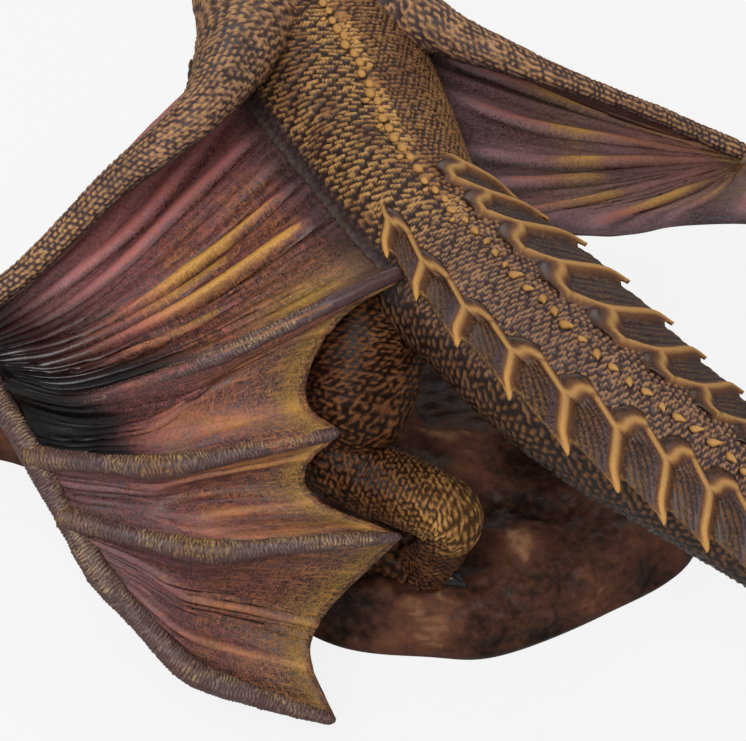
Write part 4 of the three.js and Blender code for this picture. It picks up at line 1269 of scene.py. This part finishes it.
def build_rock():
    """The low boulder: rings that follow its outline, closed at the top and underneath."""
    tints = colours()
    closed = ROCK_OUTLINE[-2:] + ROCK_OUTLINE + ROCK_OUTLINE[:3]
    path = run(closed)
    around, rings = 330, 88
    turn = np.linspace(0, 1, around + 1)
    rim = path((2 + np.mod(turn, 1) * len(ROCK_OUTLINE)) / (len(closed) - 1))
    centre = np.array(ROCK_CENTRE, float)
    profile = run(ROCK_PROFILE)
    k = np.concatenate([[0.0], np.linspace(0, 1, rings)])
    shape = profile(np.meshgrid(k, turn, indexing="ij")[0])
    share, height = np.clip(shape[..., 0], 0, 1.1), np.clip(shape[..., 1], 0, 99)
    spread = (rim - centre)[None]
    flat = centre + spread * share[..., None]
    x, y = flat[..., 0], flat[..., 1]
    fade = ramp(height, 0.5, 6)
    lumps = rough(x / 17, y / 15 + height / 13, 40, 5)
    creased = 1 - np.abs(rough(x / 12 + height / 16, y / 15 + 3, 47, 4))
    pits = ramp(rough(x / 9, y / 9, 58, 3), 0.18, 0.6)
    craggy = (2.8 * lumps + 2.8 * (creased - 0.75) - 1.5 * pits) * fade
    out = unit(spread)
    steep = ramp(share, 0.72, 0.97)
    points = np.concatenate([flat + out * (craggy * steep * 0.8)[..., None],
                             (height + craggy * (1 - 0.65 * steep))[..., None]], -1)
    points[0, :, :2] = centre
    points[0, :, 2] = 0
    tops = ramp(lumps + 1.3 * (creased - 0.8) - 0.5 * pits, -0.1, 0.7)
    wash = drift(x / 15, y / 13, 52)
    fine = drift(x / 2.6, y / 2.1 + height, 53)
    paint = blend(np.broadcast_to(tints["earth"] * 0.55, (*x.shape, 3)), tints["earth"], tops)
    paint = blend(paint, tints["tan"] * 0.75, 0.6 * ramp(tops + 0.5 * fine, 0.95, 1.4)
                  * ramp(wash, 0.3, 0.7))
    # soot in the pits: painted shade in the hollows
    paint = blend(paint, tints["soot"], 0.3 * pits)
    paint = blend(paint, tints["earth"] * 0.7, 0.4 * steep)
    rock = sculpt("rock", points, paint, np.clip(0.7 + 0.5 * lumps, 0, 1), (60, 90))
    finish_piece(rock, finish("Hollow-shaded rock"), "rock_base")


# The stage

def build_floor():
    """A pale floor that the camera sees nearly white, so that only the shadow shows on it."""
    deselect()
    bpy.ops.mesh.primitive_plane_add(size=FLOOR_SIZE, location=(0, 0, -FLOOR_DROP))
    floor = bpy.context.object
    floor.name = "floor"
    bpy.ops.object.transform_apply(location=True, rotation=True, scale=True)
    pale = bpy.data.materials.new("Pale floor")
    pale.use_nodes = True
    tree = pale.node_tree
    shader = tree.nodes["Principled BSDF"]
    shader.inputs["Base Color"].default_value = (FLOOR_GREY, FLOOR_GREY, FLOOR_GREY, 1)
    shader.inputs["Roughness"].default_value = 0.9
    glow = node(tree, "ShaderNodeEmission", (0, -300))
    seen = node(tree, "ShaderNodeLightPath", (-300, 200))
    share = node(tree, "ShaderNodeMath", (0, 200), operation="MULTIPLY")
    share.inputs[1].default_value = FLOOR_WHITENESS
    both = node(tree, "ShaderNodeMixShader", (300, 0))
    link = tree.links.new
    link(seen.outputs["Is Camera Ray"], share.inputs[0])
    link(share.outputs[0], both.inputs[0])
    link(shader.outputs[0], both.inputs[1])
    link(glow.outputs[0], both.inputs[2])
    link(both.outputs[0], tree.nodes["Material Output"].inputs["Surface"])
    floor.data.materials.append(pale)


def build_lights(scene):
    """A white sky and three soft lamps, all turned to the middle of the view."""
    world = bpy.data.worlds.new("Studio")
    world.use_nodes = True
    sky = world.node_tree.nodes["Background"]
    sky.inputs["Color"].default_value = (1, 1, 1, 1)
    sky.inputs["Strength"].default_value = SKY_STRENGTH
    scene.world = world
    for name, (place, width, power) in LAMPS.items():
        light = bpy.data.lights.new(name, "AREA")
        light.size = width
        light.energy = power
        lamp = bpy.data.objects.new(name, light)
        scene.collection.objects.link(lamp)
        lamp.location = place
        lamp.rotation_euler = (VIEW_CENTRE - lamp.location).to_track_quat("-Z", "Y").to_euler()


def build_camera(scene):
    """The camera, where the panel's angles and distance put it."""
    own = scene.dragon_stage
    view = bpy.data.cameras.new("photo view")
    view.sensor_width = 36
    view.lens = own.lens
    view.clip_start = 0.01
    view.clip_end = 20
    camera = bpy.data.objects.new("photo view", view)
    scene.collection.objects.link(camera)
    level = math.cos(own.elevation)
    away = Vector((math.sin(own.azimuth) * level, -math.cos(own.azimuth) * level,
                   math.sin(own.elevation)))
    camera.location = VIEW_CENTRE + away * own.distance
    camera.rotation_euler = (-away).to_track_quat("-Z", "Y").to_euler()
    scene.camera = camera


def build_stage():
    """The whole studio."""
    scene = bpy.context.scene
    scene.view_settings.view_transform = "Standard"
    build_floor()
    build_lights(scene)
    build_camera(scene)


# The add-on

def paint_property(name, description, *chart):
    """A paint that can be changed in the panel, from its colour on a colour chart."""
    return FloatVectorProperty(name=name, description=description, subtype="COLOR", size=3,
                               min=0, max=1, default=srgb(*chart))


class DragonPaints(bpy.types.PropertyGroup):
    """The statue's paints."""
    gold: paint_property("Gold", "Dry-brushed scale tops", 208, 156, 90)
    bronze: paint_property(
        "Bronze", "Scale tops in shade and on the lower flanks", 150, 100, 60)
    tan: paint_property(
        "Tan", "The tail's scale tops and the rock's worn edges", 186, 140, 104)
    umber: paint_property("Umber", "The ground between the scales", 80, 56, 46)
    rust: paint_property("Rust", "The ground under bronze scales and rib sides", 84, 46, 28)
    slate: paint_property("Slate", "The membranes' purple ground", 108, 84, 88)
    crimson: paint_property("Crimson", "The membranes' warm shade", 134, 72, 64)
    orange: paint_property("Orange", "The membranes' streaks", 190, 116, 74)
    yellow: paint_property(
        "Yellow", "The membranes' brightest folds and free edges", 204, 156, 66)
    # soot: black paint of the claws and pupils, and painted shade in the deepest hollows
    soot: paint_property("Soot", "The deepest hollows and the claws", 22, 17, 19)
    bone: paint_property("Bone", "Wrinkles of the fingers, and teeth", 168, 148, 124)
    ochre: paint_property("Ochre", "Frill ribs and spine drops", 206, 152, 82)
    earth: paint_property("Earth", "The rock's ground", 108, 66, 48)


class DragonStage(bpy.types.PropertyGroup):
    """The stand-in studio and its camera."""
    lens: FloatProperty(
        name="Lens", description="Focal length of the camera", default=144, min=20, max=400,
        subtype="DISTANCE_CAMERA")
    distance: FloatProperty(
        name="Distance", description="From the camera to the statue", default=0.8, min=0.2,
        max=5, subtype="DISTANCE", unit="LENGTH")
    azimuth: FloatProperty(
        name="Azimuth", description="How far round from the front the camera stands",
        default=math.radians(-24), subtype="ANGLE", unit="ROTATION")
    elevation: FloatProperty(
        name="Elevation", description="How far up the camera looks down from",
        default=math.radians(40), subtype="ANGLE", unit="ROTATION")


class DRAGON_OT_stage(bpy.types.Operator):
    """Floor, soft lights and the camera"""
    bl_idname = "dragon.stage"
    bl_label = "Stage"

    def execute(self, context):
        build_stage()
        return {"FINISHED"}


class DRAGON_OT_rock(bpy.types.Operator):
    """The rock that the dragon stands on"""
    bl_idname = "dragon.rock"
    bl_label = "Rock"

    def execute(self, context):
        build_rock()
        return {"FINISHED"}


class DRAGON_OT_body(bpy.types.Operator):
    """Neck, body and tail with their scales"""
    bl_idname = "dragon.body"
    bl_label = "Body"

    def execute(self, context):
        build_body()
        return {"FINISHED"}


class DRAGON_OT_spine(bpy.types.Operator):
    """The drops and thorns down the spine"""
    bl_idname = "dragon.spine"
    bl_label = "Spine"

    def execute(self, context):
        build_beads()
        return {"FINISHED"}


class DRAGON_OT_frill(bpy.types.Operator):
    """Both ribbed webs of the tail"""
    bl_idname = "dragon.frill"
    bl_label = "Tail frill"

    def execute(self, context):
        build_frill()
        return {"FINISHED"}


class DRAGON_OT_wings(bpy.types.Operator):
    """Membranes, arms and fingers of both wings"""
    bl_idname = "dragon.wings"
    bl_label = "Wings"

    def execute(self, context):
        build_wing("left", LEFT_WING)
        build_wing("right", RIGHT_WING)
        return {"FINISHED"}


class DRAGON_OT_legs(bpy.types.Operator):
    """Legs, toes and claws"""
    bl_idname = "dragon.legs"
    bl_label = "Legs"

    def execute(self, context):
        build_legs()
        return {"FINISHED"}


class DRAGON_OT_head(bpy.types.Operator):
    """Head, horns, eyes and teeth"""
    bl_idname = "dragon.head"
    bl_label = "Head"

    def execute(self, context):
        build_head()
        return {"FINISHED"}


STEPS = (DRAGON_OT_stage, DRAGON_OT_rock, DRAGON_OT_body, DRAGON_OT_spine, DRAGON_OT_frill,
         DRAGON_OT_wings, DRAGON_OT_legs, DRAGON_OT_head)


class DRAGON_PT_panel(bpy.types.Panel):
    """Builds the dragon piece by piece"""
    bl_label = "Dragon statue"
    bl_idname = "DRAGON_PT_panel"
    bl_space_type = "VIEW_3D"
    bl_region_type = "UI"
    bl_category = "Dragon"

    def draw(self, context):
        for made in STEPS:
            self.layout.operator(made.bl_idname)
        for group in (context.scene.dragon_paints, context.scene.dragon_stage):
            for key in group.__annotations__:
                self.layout.prop(group, key)


CLASSES = (DragonPaints, DragonStage, *STEPS, DRAGON_PT_panel)


def register():
    """Gives Blender the classes, and the scene its paints and its stage."""
    for made in CLASSES:
        bpy.utils.register_class(made)
    bpy.types.Scene.dragon_paints = PointerProperty(type=DragonPaints)
    bpy.types.Scene.dragon_stage = PointerProperty(type=DragonStage)


def unregister():
    """Takes away what register gave."""
    del bpy.types.Scene.dragon_stage
    del bpy.types.Scene.dragon_paints
    for made in reversed(CLASSES):
        bpy.utils.unregister_class(made)


def main():
    """Builds the statue on its stage."""
    register()
    bpy.ops.dragon.stage()
    bpy.ops.dragon.rock()
    bpy.ops.dragon.body()
    bpy.ops.dragon.spine()
    bpy.ops.dragon.frill()
    bpy.ops.dragon.wings()
    bpy.ops.dragon.legs()
    bpy.ops.dragon.head()


if __name__ == "__main__":
    main()
